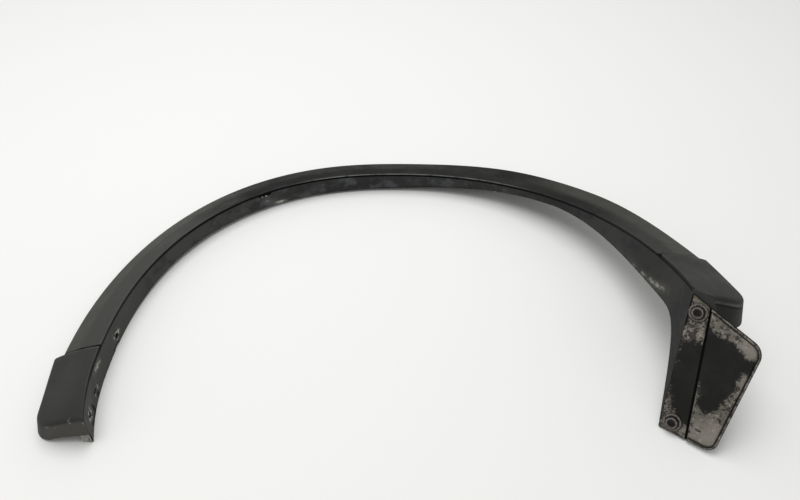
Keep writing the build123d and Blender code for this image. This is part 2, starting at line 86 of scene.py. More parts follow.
# Ear and mud flap
EAR_TILT, EAR_BEARING, EAR_FACING, EAR_WALL = 33.3, 71.4, 231.1, 3.0
EAR_MARGIN = 7.0
STRIP_LOW, STRIP_HIGH, STRIP_SLANT = 31.5, 22.5, 16.0
FLAP_WALL, FLAP_SAG = 3.2, 9.2
BLADE_LOW, BLADE_HIGH, BLADE_FALL = 62.5, 84.5, 45.4
BLADE_ROUND_LOW, BLADE_ROUND_HIGH = 12.0, 18.0
RIM_WIDTH, RIM_HEIGHT, CREASE_GAP = 3.0, 1.2, 0.8

# Screws: places on the ear, then radius and height over the flap along a screw, from its tip to its socket
SCREWS = [(13.6, 9.6), (10.6, EAR_DEPTH - 24.4)]
SCREW_PROFILE = [(2.5, -13.5), (2.5, 0), (10.1, 0), (10.5, 0.4), (10.4, 1.0), (9.8, 1.35), (8.6, 1.3), (7.3, 1.5),
                 (7.0, 1.9), (7.0, 4.2), (6.7, 4.9), (6.0, 5.4), (5.0, 5.55), (4.3, 5.2), (3.6, 4.9), (2.75, 4.7),
                 (2.6, 4.4), (2.4, 3.0)]
SOCKET_REACH, SOCKET_LOBE, SOCKET_LOBES = 2.9, 0.32, 6

# Back of the face
CLIP_ANGLES = [36.0, 64.5, 93.0, 121.5, 150.0]
CLIP_OUT, CLIP_NECK, FIT = 21.0, 6.4, 0.3
HOUSE_LENGTH, HOUSE_WIDTH, HOUSE_DROP, HOUSE_WALL = 24.0, 20.0, 19.5, 2.0
RIB_OUT, RIB_WALL, RIB_SHARE, RIB_FOOT, RIB_NOSE = 24.0, 2.0, 0.75, 12.0, 4.0


def ease(start, stop, value):
    """0 at start, 1 at stop and a smooth change between them."""
    share = min(max((value - start) / (stop - start), 0.0), 1.0)
    return share * share * (3 - 2 * share)


def unit(v):
    return v / np.linalg.norm(v)


def bearing(degrees):
    turn = math.radians(degrees)
    return np.array([math.cos(turn), math.sin(turn), 0.0])


def level(p):
    """A point moved down to the floor."""
    return np.array([p[0], p[1], 0.0])


def angle_of(rise, on_left):
    """Arch angle where a leg's edge lies so far above the widest line."""
    reach = ARCH_RISE if rise > 0 else LEG_RISE
    lift = math.degrees(math.asin((abs(rise) / reach) ** (SQUARENESS / 2)))
    lift = math.copysign(lift, rise)
    return 180 - lift if on_left else lift


LEFT_END = angle_of(-LEFT_REACH, True)
LEFT_STEP = angle_of(LEFT_CAP_LENGTH - LEFT_REACH, True)
RIGHT_STEP = angle_of(RIGHT_STEP_RISE, False)
EAR_ANGLE = angle_of(RIGHT_STEP_RISE - RIGHT_CAP_LENGTH, False)
EAR_WAY = unit(bearing(EAR_BEARING) * math.tan(math.radians(EAR_TILT)) + UP)


def edge_height(angle):
    if angle < CROWN_ANGLE:
        return CROWN_HEIGHT + RIGHT_CLIMB * ((CROWN_ANGLE - angle) / (CROWN_ANGLE - EAR_ANGLE)) ** RIGHT_CLIMB_POWER
    return CROWN_HEIGHT + LEFT_CLIMB * ((angle - CROWN_ANGLE) / (LEFT_END - CROWN_ANGLE)) ** LEFT_CLIMB_POWER


def edge(angle):
    """Point on the wheel-side edge of the face."""
    along, above = math.cos(math.radians(angle)), math.sin(math.radians(angle))
    reach = ARCH_RISE if above > 0 else LEG_RISE
    x = HALF_SPAN * math.copysign(abs(along) ** (2 / SQUARENESS), along)
    y = reach * math.copysign(abs(above) ** (2 / SQUARENESS), above)
    return np.array([x, y, edge_height(angle)])


def outward(angle):
    """Level direction away from the axle."""
    p = edge(angle)
    return unit(np.array([p[0], p[1] + AXLE_DROP, 0.0]))


def tangent(angle):
    return unit(edge(angle + 0.05) - edge(angle - 0.05))


def face_width(angle):
    width = CROWN_WIDTH - LEFT_NARROWER * ease(100, 168, angle)
    return width + WAIST_WIDER * ease(88, 55, angle) - RIGHT_NARROWER * ease(42, 14, angle)


def face_drop(angle):
    return CROWN_FALL - WAIST_FLATTER * ease(88, 60, angle) + RIGHT_STEEPER * ease(40, 16, angle)


def flange_depth(angle):
    depth = CROWN_DEPTH
    depth -= (CROWN_DEPTH - WAIST_DEPTH) * ease(100, 52, angle)
    depth += (RUN_DEPTH - WAIST_DEPTH) * ease(48, 8, angle)
    depth += (edge_height(angle) - CROWN_DEPTH) * ease(135, 178, angle)
    if angle < CROWN_ANGLE:
        distance = np.linalg.norm(edge(angle) - edge(EAR_ANGLE))
        depth += (EAR_DEPTH - RUN_DEPTH) * math.exp(-((distance / EAR_SWEEP) ** EAR_SWEEP_POWER))
    return depth


def flange_way(angle):
    """Direction down the flange, which leans over towards the ear on the right leg."""
    turn = min(max((LEAN_START - angle) / (LEAN_START - EAR_ANGLE), 0.0), 1.0)
    return unit(UP * (turn - 1) - EAR_WAY * turn)


def flange_across(angle):
    """Direction through the flange, away from the wheel."""
    across = unit(np.cross(flange_way(angle), tangent(angle)))
    return across if across @ outward(angle) > 0 else -across


def ear_frame():
    """Lowest point of the ear beside the flange, and the directions across, up and out of it."""
    front = bearing(EAR_FACING)
    front = unit(front - UP * (front @ EAR_WAY / EAR_WAY[2]))
    foot = edge(EAR_ANGLE) + flange_across(EAR_ANGLE) * LIP - EAR_WAY * EAR_DEPTH
    return foot, np.cross(EAR_WAY, front), EAR_WAY, front


EAR_FOOT, EAR_ACROSS, EAR_UP, EAR_FRONT = ear_frame()


def on_ear(across, up, front=0.0):
    """Point on the front of the ear, or so far before it."""
    return EAR_FOOT + EAR_ACROSS * across + EAR_UP * up + EAR_FRONT * front


# Mesh building
class Shape:
    """Vertices in drawing millimetres and faces. Each vertex has a place on the part, which is how far along, how
    far out and in which zone it lies, and marks: its dirt, its painted shade, and its wear with painted highlights."""

    def __init__(self):
        self.points, self.faces, self.places = [], [], []

    def sweep(self, loops, places=None):
        """Skin over a row of closed loops, with flat ends."""
        first, m, n = len(self.points), len(loops), len(loops[0])
        self.points += [np.asarray(p, float) for loop in loops for p in loop]
        self.places += [place for row in places for place in row] if places else [(0.0,) * 6] * (m * n)
        last = first + (m - 1) * n
        for i in range(first, last, n):
            self.faces += [(i + k, i + (k + 1) % n, i + n + (k + 1) % n, i + n + k) for k in range(n)]
        self.faces += [tuple(range(first, first + n)), tuple(range(last, last + n))]

    def build(self, name, smooth, shift=SHIFT):
        """Object at the origin, shaded smooth but for edges over so many degrees."""
        mesh = bpy.data.meshes.new(name)
        mesh.from_pydata([tuple((p + shift) / 1000) for p in self.points], [], self.faces)
        places = np.array(self.places, np.float32)
        for layer, columns in (("place", places[:, :3]), ("marks", places[:, 3:])):
            mesh.attributes.new(layer, "FLOAT_VECTOR", "POINT").data.foreach_set("vector", columns.ravel())
        work = bmesh.new()
        work.from_mesh(mesh)
        bmesh.ops.recalc_face_normals(work, faces=work.faces)
        work.to_mesh(mesh)
        work.free()
        obj = bpy.data.objects.new(name, mesh)
        bpy.context.scene.collection.objects.link(obj)
        shade(obj, smooth)
        return obj


def shade(obj, degrees):
    obj.data.shade_smooth()
    obj.data.set_sharp_from_angle(angle=math.radians(degrees))


def rounded(corners, radii, steps):
    """Closed outline with each corner rounded by its own radius."""
    corners = [np.asarray(c, float) for c in corners]
    points = []
    for i, (corner, radius) in enumerate(zip(corners, radii)):
        if radius == 0:
            points.append(corner)
            continue
        to_a, to_b = corners[i - 1] - corner, corners[(i + 1) % len(corners)] - corner
        room = 0.48 * min(np.linalg.norm(to_a), np.linalg.norm(to_b))
        half = math.acos(np.clip(unit(to_a) @ unit(to_b), -1, 1)) / 2
        cut = min(radius / math.tan(half), room)
        a, b = corner + unit(to_a) * cut, corner + unit(to_b) * cut
        pull = math.sin(half)
        for s in np.linspace(0, 1, steps + 1):
            weights = np.array([(1 - s) ** 2, 2 * pull * s * (1 - s), s * s])
            points.append((a * weights[0] + corner * weights[1] + b * weights[2]) / weights.sum())
    return np.array(points)


def settle(obj, smooth):
    """Makes what an object's modifiers give its own plain mesh."""
    bpy.context.view_layer.update()
    mesh = bpy.data.meshes.new_from_object(obj.evaluated_get(bpy.context.evaluated_depsgraph_get()))
    obj.modifiers.clear()
    old, obj.data = obj.data, mesh
    mesh.name = obj.name
    bpy.data.meshes.remove(old)
    shade(obj, smooth)


def cut(obj, cutters, smooth):
    """Takes the cutters out of a closed mesh."""
    for cutter in cutters:
        tool = obj.modifiers.new("cut", "BOOLEAN")
        tool.operation, tool.solver, tool.object = "DIFFERENCE", "EXACT", cutter
    settle(obj, smooth)
    for cutter in cutters:
        bpy.data.objects.remove(cutter)


def slab(outline, thickness):
    """Cutter from an outline moved by half its thickness to both sides."""
    shape = Shape()
    shape.sweep([[p - thickness / 2 for p in outline], [p + thickness / 2 for p in outline]])
    return shape.build("cutter", 35)


# Steps between the face and the end sections
def riser(step, skew):
    """Level direction along a step and the one from it to the end of the leg."""
    turn = math.radians(skew)
    x, y, _ = outward(step)
    way = np.array([x * math.cos(turn) - y * math.sin(turn), x * math.sin(turn) + y * math.cos(turn), 0.0])
    facing = np.cross(way, UP)
    return way, facing if facing[1] < 0 else -facing


STEPS = {step: riser(step, skew) for step, skew in ((RIGHT_STEP, -STEP_SKEW), (LEFT_STEP, STEP_SKEW))}


def step_shade(p):
    """Painted shade: a dark line beside the raised lip of each end section."""
    found = 0.0
    for section, cover in ((LEFT, 1.15), (RIGHT, 1.75)):
        before = (p - edge(section.step)) @ STEPS[section.step][1]
        if -20 < before < 8:
            hidden = cover * max(section.roof(p) - p[2], 0.0)
            found = max(found, ease(-hidden - 3.4, -hidden - 1.6, before))
    return found


def groove_shade(angle):
    """How black the painted shade in the shadow groove is: it is greyer on the right leg."""
    return 0.35 + 0.65 * ease(42, 62, angle)


def arch_face():
    """Face from under one end section to under the other, sunk along each step, with painted shade in the dark line
    there.
    """
    shape, loops, places = Shape(), [], []
    # degrees that it runs on under an end section, and millimetres that it is sunk and tucked in there
    cover, sunk, tucked = 2.2, 2.2, 1.5
    near = [np.linspace(step - cover, step + cover, 150) for step in STEPS]
    angles = np.unique(np.concatenate([np.linspace(RIGHT_STEP - cover, LEFT_STEP + cover, 260), *near]))
    for angle in angles:
        width, drop = face_width(angle), face_drop(angle)
        flat = [(r, -CREASE_DROP * r / CREASE_OUT) for r in (1.9, 3.2)]
        corners = [(0, -WALL), (0, 0), *flat, (CREASE_OUT, -CREASE_DROP), (width, -drop), (width, -drop - WALL),
                   (CREASE_OUT, -CREASE_DROP - WALL)]
        section = rounded(corners, (0.4, 0.8, 0, 0, 16, 1.2, 1.2, 6), 5)
        spot, way = edge(angle), outward(angle)
        loop = [spot + way * r + UP * z for r, z in section]
        # painted highlight along the wheel-side edge, mostly over the crown
        edge_highlight = 0.12 + 0.88 * ease(52, 66, angle) * ease(118, 100, angle)
        close = [step for step in STEPS if abs(angle - step) < 4]
        marks = []
        for (r, z), p in zip(section, loop):
            # painted shade on the front of the lip under the wheel-side edge, and beside the steps
            painted_shade = groove_shade(angle) * ease(-0.7, -1.2, z) if r < 0.5 else 0.0
            marks.append((0.0, max(painted_shade, step_shade(p)) if close else painted_shade, edge_highlight if r < 2.0 and z > -0.9 else 0.0))
        for step in close:
            past = [(p - edge(step)) @ STEPS[step][1] for p in loop]
            loop = [p - UP * sunk * ease(-2.0, -1.2, d) + way * (tucked * ease(-0.6, 0.2, d) if r < 3 else 0.0)
                    for p, d, (r, z) in zip(loop, past, section)]
        loops.append(loop)
        places.append([(angle / 100, r / 100, 0.0, *mark) for (r, z), mark in zip(section, marks)])
    shape.sweep(loops, places)
    return shape.build("arch_face", 50)


def beyond(outline, p):
    """Distance from a point to an outline, negative inside it."""
    a = np.array(outline, float)
    b = np.roll(a, -1, axis=0)
    t = np.clip(((p - a) * (b - a)).sum(1) / ((b - a) ** 2).sum(1), 0, 1)
    distance = np.linalg.norm(a + (b - a) * t[:, None] - p, axis=1).min()
    crossing = (a[:, 1] > p[1]) != (b[:, 1] > p[1])
    rise = np.where(b[:, 1] == a[:, 1], 1.0, b[:, 1] - a[:, 1])
    inside = np.sum(crossing & (p[0] < a[:, 0] + (b[:, 0] - a[:, 0]) * (p[1] - a[:, 1]) / rise)) % 2
    return -distance if inside else distance


# The left leg is broken and cracked past this angle, and has its points closer together there
DAMAGED_FROM = 170
# Dusty scuffs on the flange: arch angle, share of its depth, reach in degrees, amount
SCUFFS = [(181.2, 0.34, 0.7, 0.7), (182.4, 0.32, 0.7, 0.8), (183.6, 0.3, 0.8, 0.75), (184.9, 0.26, 0.7, 0.5),
          (185.5, 0.7, 0.5, 0.9), (187.5, 0.69, 0.5, 0.9), (190, 0.5, 0.9, 0.4), (192.4, 0.5, 0.8, 0.9),
          (194.4, 0.62, 0.8, 0.9), (173.6, 0.62, 0.7, 0.9), (175.4, 0.6, 0.6, 0.8), (169, 0.4, 2.0, 0.3),
          (128, 0.6, 1.2, 0.5), (121, 0.6, 1.6, 0.7), (117.5, 0.9, 2.4, 0.9), (113, 0.75, 1.5, 0.4),
          (107, 0.45, 2.0, 0.4), (24, 0.9, 2.4, 0.5), (19.5, 0.92, 2.0, 0.62), (16, 0.9, 1.6, 0.7),
          (13.2, 0.85, 1.4, 0.72), (11.0, 0.8, 1.2, 0.75), (9.2, 0.72, 1.0, 0.66), (7.6, 0.62, 0.9, 0.5)]
# Painted shade in the black breaks round the holes of the left leg: arch angle, share of the flange's depth, reach in
# degrees and in share
BREAKS = [(193.3, 0.58, 1.0, 0.12), (187.4, 0.64, 0.5, 0.06), (174.5, 0.7, 0.7, 0.13), (175.6, 0.97, 1.3, 0.09)]
# Cracks at the free edge of the left leg, painted black as shade, as outlines of arch angle and eighths of the
# flange's depth
CRACKS = [[(190.7, 4.4), (190.0, 5.9), (189.8, 7.4), (190.5, 8.1), (193.2, 8.1), (194.7, 6.8), (194.5, 6.2),
           (193.0, 7.2), (191.7, 7.2), (191.0, 6.5), (190.9, 5.4)],
          [(186.0, 6.2), (185.8, 7.5), (186.4, 7.5), (187.3, 6.8), (186.8, 6.4)]]


def flange_dirt(angle, share):
    """Amount of dust at a place on the flange."""
    found = 0.08 + 0.12 * ease(0.5, 1.0, share) * ease(60, 100, angle)
    for at, deep, reach, amount in SCUFFS:
        found += amount * math.exp(-((angle - at) / reach) ** 2 - ((share - deep) / 0.15) ** 2)
    return min(found, 1.2)


def flange_break(angle, share):
    """How much painted shade a place on the flange has from the breaks and cracks of the left leg."""
    if angle < DAMAGED_FROM:
        return 0.0
    spot = np.array([angle, 8 * share])
    found = [ease(0.12, -0.1, beyond(outline, spot)) for outline in CRACKS]
    for at, deep, reach, tall in BREAKS:
        found.append(ease(1.3, 0.7, math.hypot((angle - at) / reach, (share - deep) / tall)))
    return max(found)


def arch_flange():
    """Flange from the left end to the ear, with the shadow groove along its top."""
    shape, loops, places = Shape(), [], []
    start = LEFT_END - 0.3
    sweep = 12
    angles = np.concatenate([[start, start - 0.18], np.linspace(start - 0.36, DAMAGED_FROM, 130)[:-1],
                             np.linspace(DAMAGED_FROM, sweep, 250)[:-1], np.linspace(sweep, EAR_ANGLE, 70)])
    ledge, groove, back = GROOVE_FLOOR, LIP + GROOVE_DEPTH, LIP + FLANGE_WALL
    for angle in angles:
        depth = flange_depth(angle)
        steps = [(LIP, ledge + d) for d in (1.3, 2.4)] + [(LIP, d) for d in np.linspace(ledge + 2.4, depth, 19)[1:-1]]
        corners = [(groove, WALL / 2), (groove, ledge), (LIP, ledge), *steps, (LIP, depth), (back, depth),
                   (back, WALL / 2)]
        section = rounded(corners, (0, 0.5, 0.5, *[0] * len(steps), 1.2, 1.2, 0), 4)
        spot, way, across = edge(angle), flange_way(angle), flange_across(angle)
        loops.append([spot + across * a + way * d for a, d in section])
        row = []
        for a, d in section:
            share, in_groove = d / depth, d < ledge + 0.1 and LIP + 0.1 < a
            # painted shade in the groove and on the flange's left end
            painted_shade = groove_shade(angle) if in_groove or angle > start - 0.1 else 0.0
            if a < LIP + 0.1:
                # painted shade under the groove on the left haunch, and in the breaks and cracks
                under_groove_shade = ease(ledge + 1.7, ledge + 1.0, d) * ease(118, 140, angle)
                painted_shade = max(painted_shade, under_groove_shade, flange_break(angle, share))
            # painted shade under the free edge over the crown
            free_edge_shade = 0.8 * ease(depth - 3, depth, d) * ease(66, 72, angle) * ease(96, 90, angle)
            row.append((angle / 100, -d / 100, share, flange_dirt(angle, share), max(painted_shade, free_edge_shade), 0.0))
        places.append(row)
    shape.sweep(loops, places)
    return shape.build("arch_flange", 50)


# End sections
class EndSection:
    """Hollow end of the moulding: crowned face, drafted outer wall and end wall.

    The face falls by drop over its width, less by lift at its outer corner. gap is how black the painted shade in the
    line beside its lip is, hems are the depths of the wall at the step and at the end, and nose is the part of the
    end over the ear."""

    def __init__(self, step, end, end_way, width, drop, lift, gap, hems, corner, foot_bluntness, nose):
        self.step, self.end, self.width, self.drop = step, end, width, drop
        self.lift, self.gap, self.hems = lift, gap, hems
        step_way = STEPS[step][0]
        over = (end - step) / 4
        self.angles = np.linspace(step - 1.6 * over, end + 1.6 * over, 240)
        self.spots = np.array([edge(a) for a in self.angles])
        share = ((self.angles - step + over) / (end - step + 2 * over))[:, None]
        ways = step_way * (1 - share) + end_way * share
        self.ways = ways / np.linalg.norm(ways, axis=1)[:, None]
        self.side = [level(edge(a)) for a in np.linspace(step, end, 60)]
        self.tip = self.side[-1] + nose
        self.crest = edge_height(end) + CAP_ROUND
        lean = math.tan(math.radians(CAP_DRAFT))
        nose_steps = 14 if np.linalg.norm(nose) else 0
        self.lines = []
        for height, bluntness in ((0.0, foot_bluntness), (self.crest, 1.0)):
            far_step = self.side[0] + step_way * (width + lean * (edge_height(step) - drop - height))
            far_end = self.side[-1] + end_way * (width + lean * (edge_height(end) - drop - height))
            bend = rounded([far_step, far_end, self.tip], (0, corner * bluntness, 0), 24)
            parts = [path_along([far_step, bend[1]], 50), bend[1:-1], path_along([bend[-2], self.tip], 40)]
            if nose_steps:
                parts.append(path_along([self.tip, self.side[-1]], nose_steps))
            self.lines.append(np.concatenate([part[:-1] for part in parts] + [parts[-1][-1:]]))
        self.nose_at = len(self.lines[0]) - nose_steps

    def place(self, p):
        """Height of the wheel-side edge beside a point in plan, its share along the section and its distance out."""
        gap = p[:2] - self.spots[:, :2]
        side = self.ways[:, 0] * gap[:, 1] - self.ways[:, 1] * gap[:, 0]
        turns = np.nonzero(side[:-1] * side[1:] <= 0)[0]
        i = turns[np.argmin(np.abs(turns - len(side) / 2))] if len(turns) else int(np.argmin(np.abs(side[:-1])))
        t = side[i] / (side[i] - side[i + 1]) if side[i] != side[i + 1] else 0.0
        spot = self.spots[i] * (1 - t) + self.spots[i + 1] * t
        angle = self.angles[i] * (1 - t) + self.angles[i + 1] * t
        out = (p[:2] - spot[:2]) @ (self.ways[i, :2] * (1 - t) + self.ways[i + 1, :2] * t)
        return spot[2], (angle - self.step) / (self.end - self.step), out

    def roof(self, p):
        """Height of the crowned face over a point in plan."""
        height, along, out = self.place(p)
        share = out / self.width
        drop = self.drop - self.lift * ease(0.4, 1.0, along)
        return height + CAP_LIP - (CAP_LIP + drop) * share + 4 * CAP_CROWN * share * (1 - share)

    def hem(self, p):
        """Height of the lower edge at a point in plan, a little over the floor at least."""
        height, along, out = self.place(p)
        at_step, at_end = self.hems
        share = out / self.width
        low = height - at_step - (at_end - at_step) * np.clip(along, 0, 1) - HEM_FALL * out / self.width
        return max(low - self.lift * ease(0.5, 0.9, share) * ease(0.7, 1.0, along), 0.4)

    def wall(self, i, height):
        """Point of the outer line at a height, on the draft between its lines at the floor and at the crest."""
        share = height / self.crest
        return self.lines[0][i] * (1 - share) + self.lines[1][i] * share

    def brim(self, i):
        """Where the wall would meet the face without its rounding."""
        height = self.roof(self.wall(i, 0.8 * self.crest))
        for _ in range(12):
            height = self.roof(self.wall(i, height))
        return level(self.wall(i, height)) + UP * height

    def build(self, name, marks, ridge=None):
        """Skin from the wheel-side edge over the face and down the wall, with marks(share along the outer line, fall
            below its brim) for the dirt, painted shade and wear, and ridge for how far the wall stands out."""
        shape, loops, places = Shape(), [], []
        count = len(self.lines[0])
        inner = path_along(self.side, count)
        middle = (self.side[0] + self.side[-1] + self.lines[0][0] + self.tip) / 4
        for i in range(count - 1):
            start, brim = inner[i], self.brim(i)
            span = np.linalg.norm(level(brim) - start)
            soft = CAP_ROUND * (1 - ease(self.nose_at - 8, self.nose_at, i)) + 0.6
            soft = min(soft * 0.62, 0.4 * span)
            reach = np.linspace(0, 1, 12) ** 1.5 * (1 - soft / span)
            top = [start + (level(brim) - start) * r for r in reach]
            top = [p + UP * self.roof(p) for p in top]
            lowest = self.hem(self.wall(i, brim[2] - 20))
            under = level(self.wall(i, brim[2] - soft)) + UP * (brim[2] - soft)
            turn = [top[-1] * (1 - t) ** 2 + brim * 2 * t * (1 - t) + under * t * t for t in np.linspace(0, 1, 8)[1:]]
            heights = np.linspace(brim[2] - soft, lowest, 26)[1:]
            down = [level(self.wall(i, h)) + UP * h for h in heights]
            push = unit(level(brim) - level(middle))
            if ridge is not None:
                down = [p + push * ridge(i / count, brim[2] - p[2]) for p in down]
            inward = -push * WALL
            back = [down[-1] + inward, level(under) + inward + UP * (under[2] - WALL)]
            lip = [start + UP * (self.roof(start) - fall) for fall in (CAP_LIP + WALL, 1.7, 0.8)]
            loop = top + turn + down + back + lip
            loops.append(loop)
            row = []
            for j, p in enumerate(loop):
                fall = max(0.0, brim[2] - p[2]) if j >= len(top) else 0.0
                dirt, painted_shade, wear_and_highlight = marks(i / count, fall) if j >= len(top) else (0.0, 0.0, 0.0)
                # painted shade on the lip under the face's edge; painted highlights on the step's edge and along the
                # wheel-side edge
                if j >= len(loop) - 3:
                    dirt, painted_shade, wear_and_highlight = 0.0, self.gap if j < len(loop) - 1 else 0.0, 0.0
                elif j == 0 or i == 0 and j < len(top):
                    wear_and_highlight = 1.0 if i == 0 else 0.3
                out = np.linalg.norm(level(p) - start)
                row.append((i / count, out / 100, END_ZONE + fall / 100, dirt, painted_shade, wear_and_highlight))
            places.append(row)
        shape.sweep(loops, places)
        return shape.build(name, 40)


def path_along(points, count):
    """Evenly spaced points along an open line."""
    points = np.array(points)
    length = np.concatenate([[0], np.cumsum(np.linalg.norm(np.diff(points, axis=0), axis=1))])
    at = np.linspace(0, length[-1], count)
    return np.stack([np.interp(at, length, points[:, k]) for k in range(3)], axis=1)


def end_ridge(along, fall):
    """Bead across the right end wall and the recess under it, in millimetres out of the wall."""
    bead = BEAD_HEIGHT * math.exp(-((fall - BEAD_FALL) / 2.2) ** 2)
    return (bead - BEAD_HEIGHT * ease(10.5, 13.5, fall)) * ease(0.53, 0.62, along)


def right_marks(along, fall):
    """Painted highlight on the bead across the right end wall, painted shade in the line under it, and a paler nose.
    """
    on_end, on_nose = ease(0.44, 0.54, along) * ease(0.92, 0.84, along), ease(0.84, 0.92, along)
    bead, under = math.exp(-((fall - BEAD_FALL) / 1.8) ** 2), math.exp(-((fall - 13.2) / 1.4) ** 2)
    return 0.0, 0.9 * on_end * under, 0.9 * on_end * bead + 0.4 * on_nose


# Pale spots on the left end wall: share along the section's outer line, fall below its brim, amount
END_SPOTS = [(0.60, 6.0, 0.45), (0.80, 1.5, 0.75), (0.82, 5.0, 0.6), (0.66, 10.0, 0.3), (0.97, 9.0, 0.6),
             (0.99, 14.0, 0.6)]


def left_marks(along, fall):
    """Dust on the left end wall."""
    dirt = 0.44 * ease(1, 8, fall) * ease(0.5, 0.62, along)
    for share, deep, amount in END_SPOTS:
        dirt += amount * math.exp(-((along - share) / 0.014) ** 2 - ((fall - deep) / 2.0) ** 2)
    return dirt, 0.0, 0.0


LEFT = EndSection(step=LEFT_STEP, end=LEFT_END, end_way=bearing(180), width=LEFT_CAP_WIDTH, drop=LEFT_CAP_DROP,
                  lift=4.0, gap=1.0, hems=(LEFT_HEM, LEFT_HEM), corner=1.5 * LEFT_CORNER, foot_bluntness=0.5,
                  nose=np.zeros(3))
RIGHT = EndSection(step=RIGHT_STEP, end=EAR_ANGLE, end_way=bearing(END_SKEW), width=RIGHT_CAP_WIDTH,
                   drop=RIGHT_CAP_DROP, lift=0.0, gap=0.55, hems=(RIGHT_STEP_HEM, RIGHT_HEM), corner=RIGHT_CORNER,
                   foot_bluntness=1.0, nose=bearing(EAR_FACING + 90) * NOSE_LENGTH)


def left_foot():
    """End of the left flange that reaches the floor."""
    shape = Shape()
    top = edge_height(LEFT_END) - 2 * WALL
    spot = level(edge(LEFT_END))
    inner = LIP + 1.6
    outline = rounded([(inner, 0), (FOOT_WIDTH, 0), (FOOT_WIDTH, top), (inner, top)], (1, 2, 0, 0), 3)
    rows = [[spot + bearing(180) * x + UP * z + bearing(90) * y for x, z in outline] for y in (0.3, WALL)]
    shape.sweep(rows, [[(0.0, 0.0, EDGE_ZONE, 0.88, 0.0, 0.0)] * len(outline)] * 2)
    return shape.build("arch_left_foot", 40)


# Ear and mud flap
def ear():
    """Plate behind the flap, up to the tip of the right end section."""
    low, high = STRIP_LOW + EAR_MARGIN, STRIP_HIGH + EAR_MARGIN
    tip = RIGHT.tip + UP * RIGHT.roof(RIGHT.tip) - EAR_FOOT
    corners = [(FIT, EAR_WALL), (low, -FLAP_SAG * low / BLADE_LOW), (high, EAR_DEPTH - STRIP_SLANT - EAR_MARGIN),
               (tip @ EAR_ACROSS, tip @ EAR_UP), (FIT, EAR_DEPTH)]
    outline = rounded(corners, (0, 3, 3, 2, 0), 4)
    shape = Shape()
    shape.sweep([[on_ear(*p, d) for p in outline] for d in (-EAR_WALL, 0.0)])
    return shape.build("arch_ear", 40)


def inset(corners, amount):
    """Convex outline, running anticlockwise, moved inwards."""
    corners = [np.asarray(c, float) for c in corners]
    moved = []
    for i, corner in enumerate(corners):
        before, after = unit(corner - corners[i - 1]), unit(corners[(i + 1) % len(corners)] - corner)
        side_a, side_b = np.array([-before[1], before[0]]), np.array([-after[1], after[0]])
        bend = unit(side_a + side_b)
        moved.append(corner + bend * amount / (bend @ side_a))
    return moved


# Clean middles of the flap, where the dried mud has been wiped off, as outlines on the ear
CLEAN_BLADE = [(27, 124), (37, 121), (52, 115), (67, 106), (84, 101), (81, 92), (68, 88), (65, 80), (66, 72),
               (60, 58), (54, 42), (44, 33), (36, 38), (32, 60), (27, 74), (10, 84), (10, 106), (22, 110)]
CLEAN_STRIP = [(4, 99), (15, 104), (46, 108), (46, 73), (46, 43), (46, 10), (24, 16), (17, 29), (9, 44), (6, 70),
               (6, 85)]


def flap_dirt(p):
    """Amount of dried mud at a place on the flap."""
    p = np.asarray(p, float)
    on_strip = p[0] < STRIP_LOW + (STRIP_HIGH - STRIP_LOW) * p[1] / (EAR_DEPTH - STRIP_SLANT)
    gap = beyond(CLEAN_STRIP if on_strip else CLEAN_BLADE, p)
    bare_spot = math.exp(-np.linalg.norm((p - (42, 11)) / (6, 3)) ** 2)
    amount = ease(-9, 12, gap) - 0.5 * bare_spot
    if on_strip:
        amount *= 0.6 + 0.3 * ease(92, 112, p[1]) + 0.22 * ease(25, 8, p[1])
    return amount


def finer(outline, counts):
    """Closed outline with each of its sides parted into so many pieces."""
    ahead = np.roll(outline, -1, axis=0)
    return np.array([a + (b - a) * k / n for a, b, n in zip(outline, ahead, counts) for k in range(n)])


def flakiness(p):
    """How flaky the crust is: smooth at the blade's foot and at its outer corner."""
    smooth = max(ease(34, 20, p[1]) * ease(30, 40, p[0]), ease(58, 70, p[0]) * ease(70, 85, p[1]))
    return (1.35 if p[0] < STRIP_HIGH else 1.0) - 0.85 * smooth


def plate(shape, corners, radii, rings, marks):
    """Rings of (inset, height) over an outline on the ear, closed at both ends, with marks(point) for the painted
    shade and the wear."""
    loops, places = [], []

    def ring(outline, height, painted_shade):
        loops.append([on_ear(*p, height) for p in outline])
        row = []
        for p in outline:
            found = marks(p)
            row.append((p[0] / 100, p[1] / 100, flakiness(p), flap_dirt(p), max(painted_shade, found[0]), found[1]))
        places.append(row)

    outline = rounded(corners, [max(r, 0.2) for r in radii], 8)
    counts = [max(1, round(np.linalg.norm(b - a) / 2.5)) for a, b in zip(outline, np.roll(outline, -1, axis=0))]
    for amount, height in rings:
        outline = finer(rounded(inset(corners, amount), [max(r - amount, 0.2) for r in radii], 8), counts)
        # painted shade on the plate's sides, half as dark on the rim of its top
        ring(outline, height, 1.0 if height < rings[-1][1] - 0.1 else 0.5)
    middle = np.mean(corners, axis=0)
    for share in np.linspace(1, 0.02, 45)[1:]:
        ring(middle + (outline - middle) * share, height, 0.0)
    shape.sweep(loops, places)


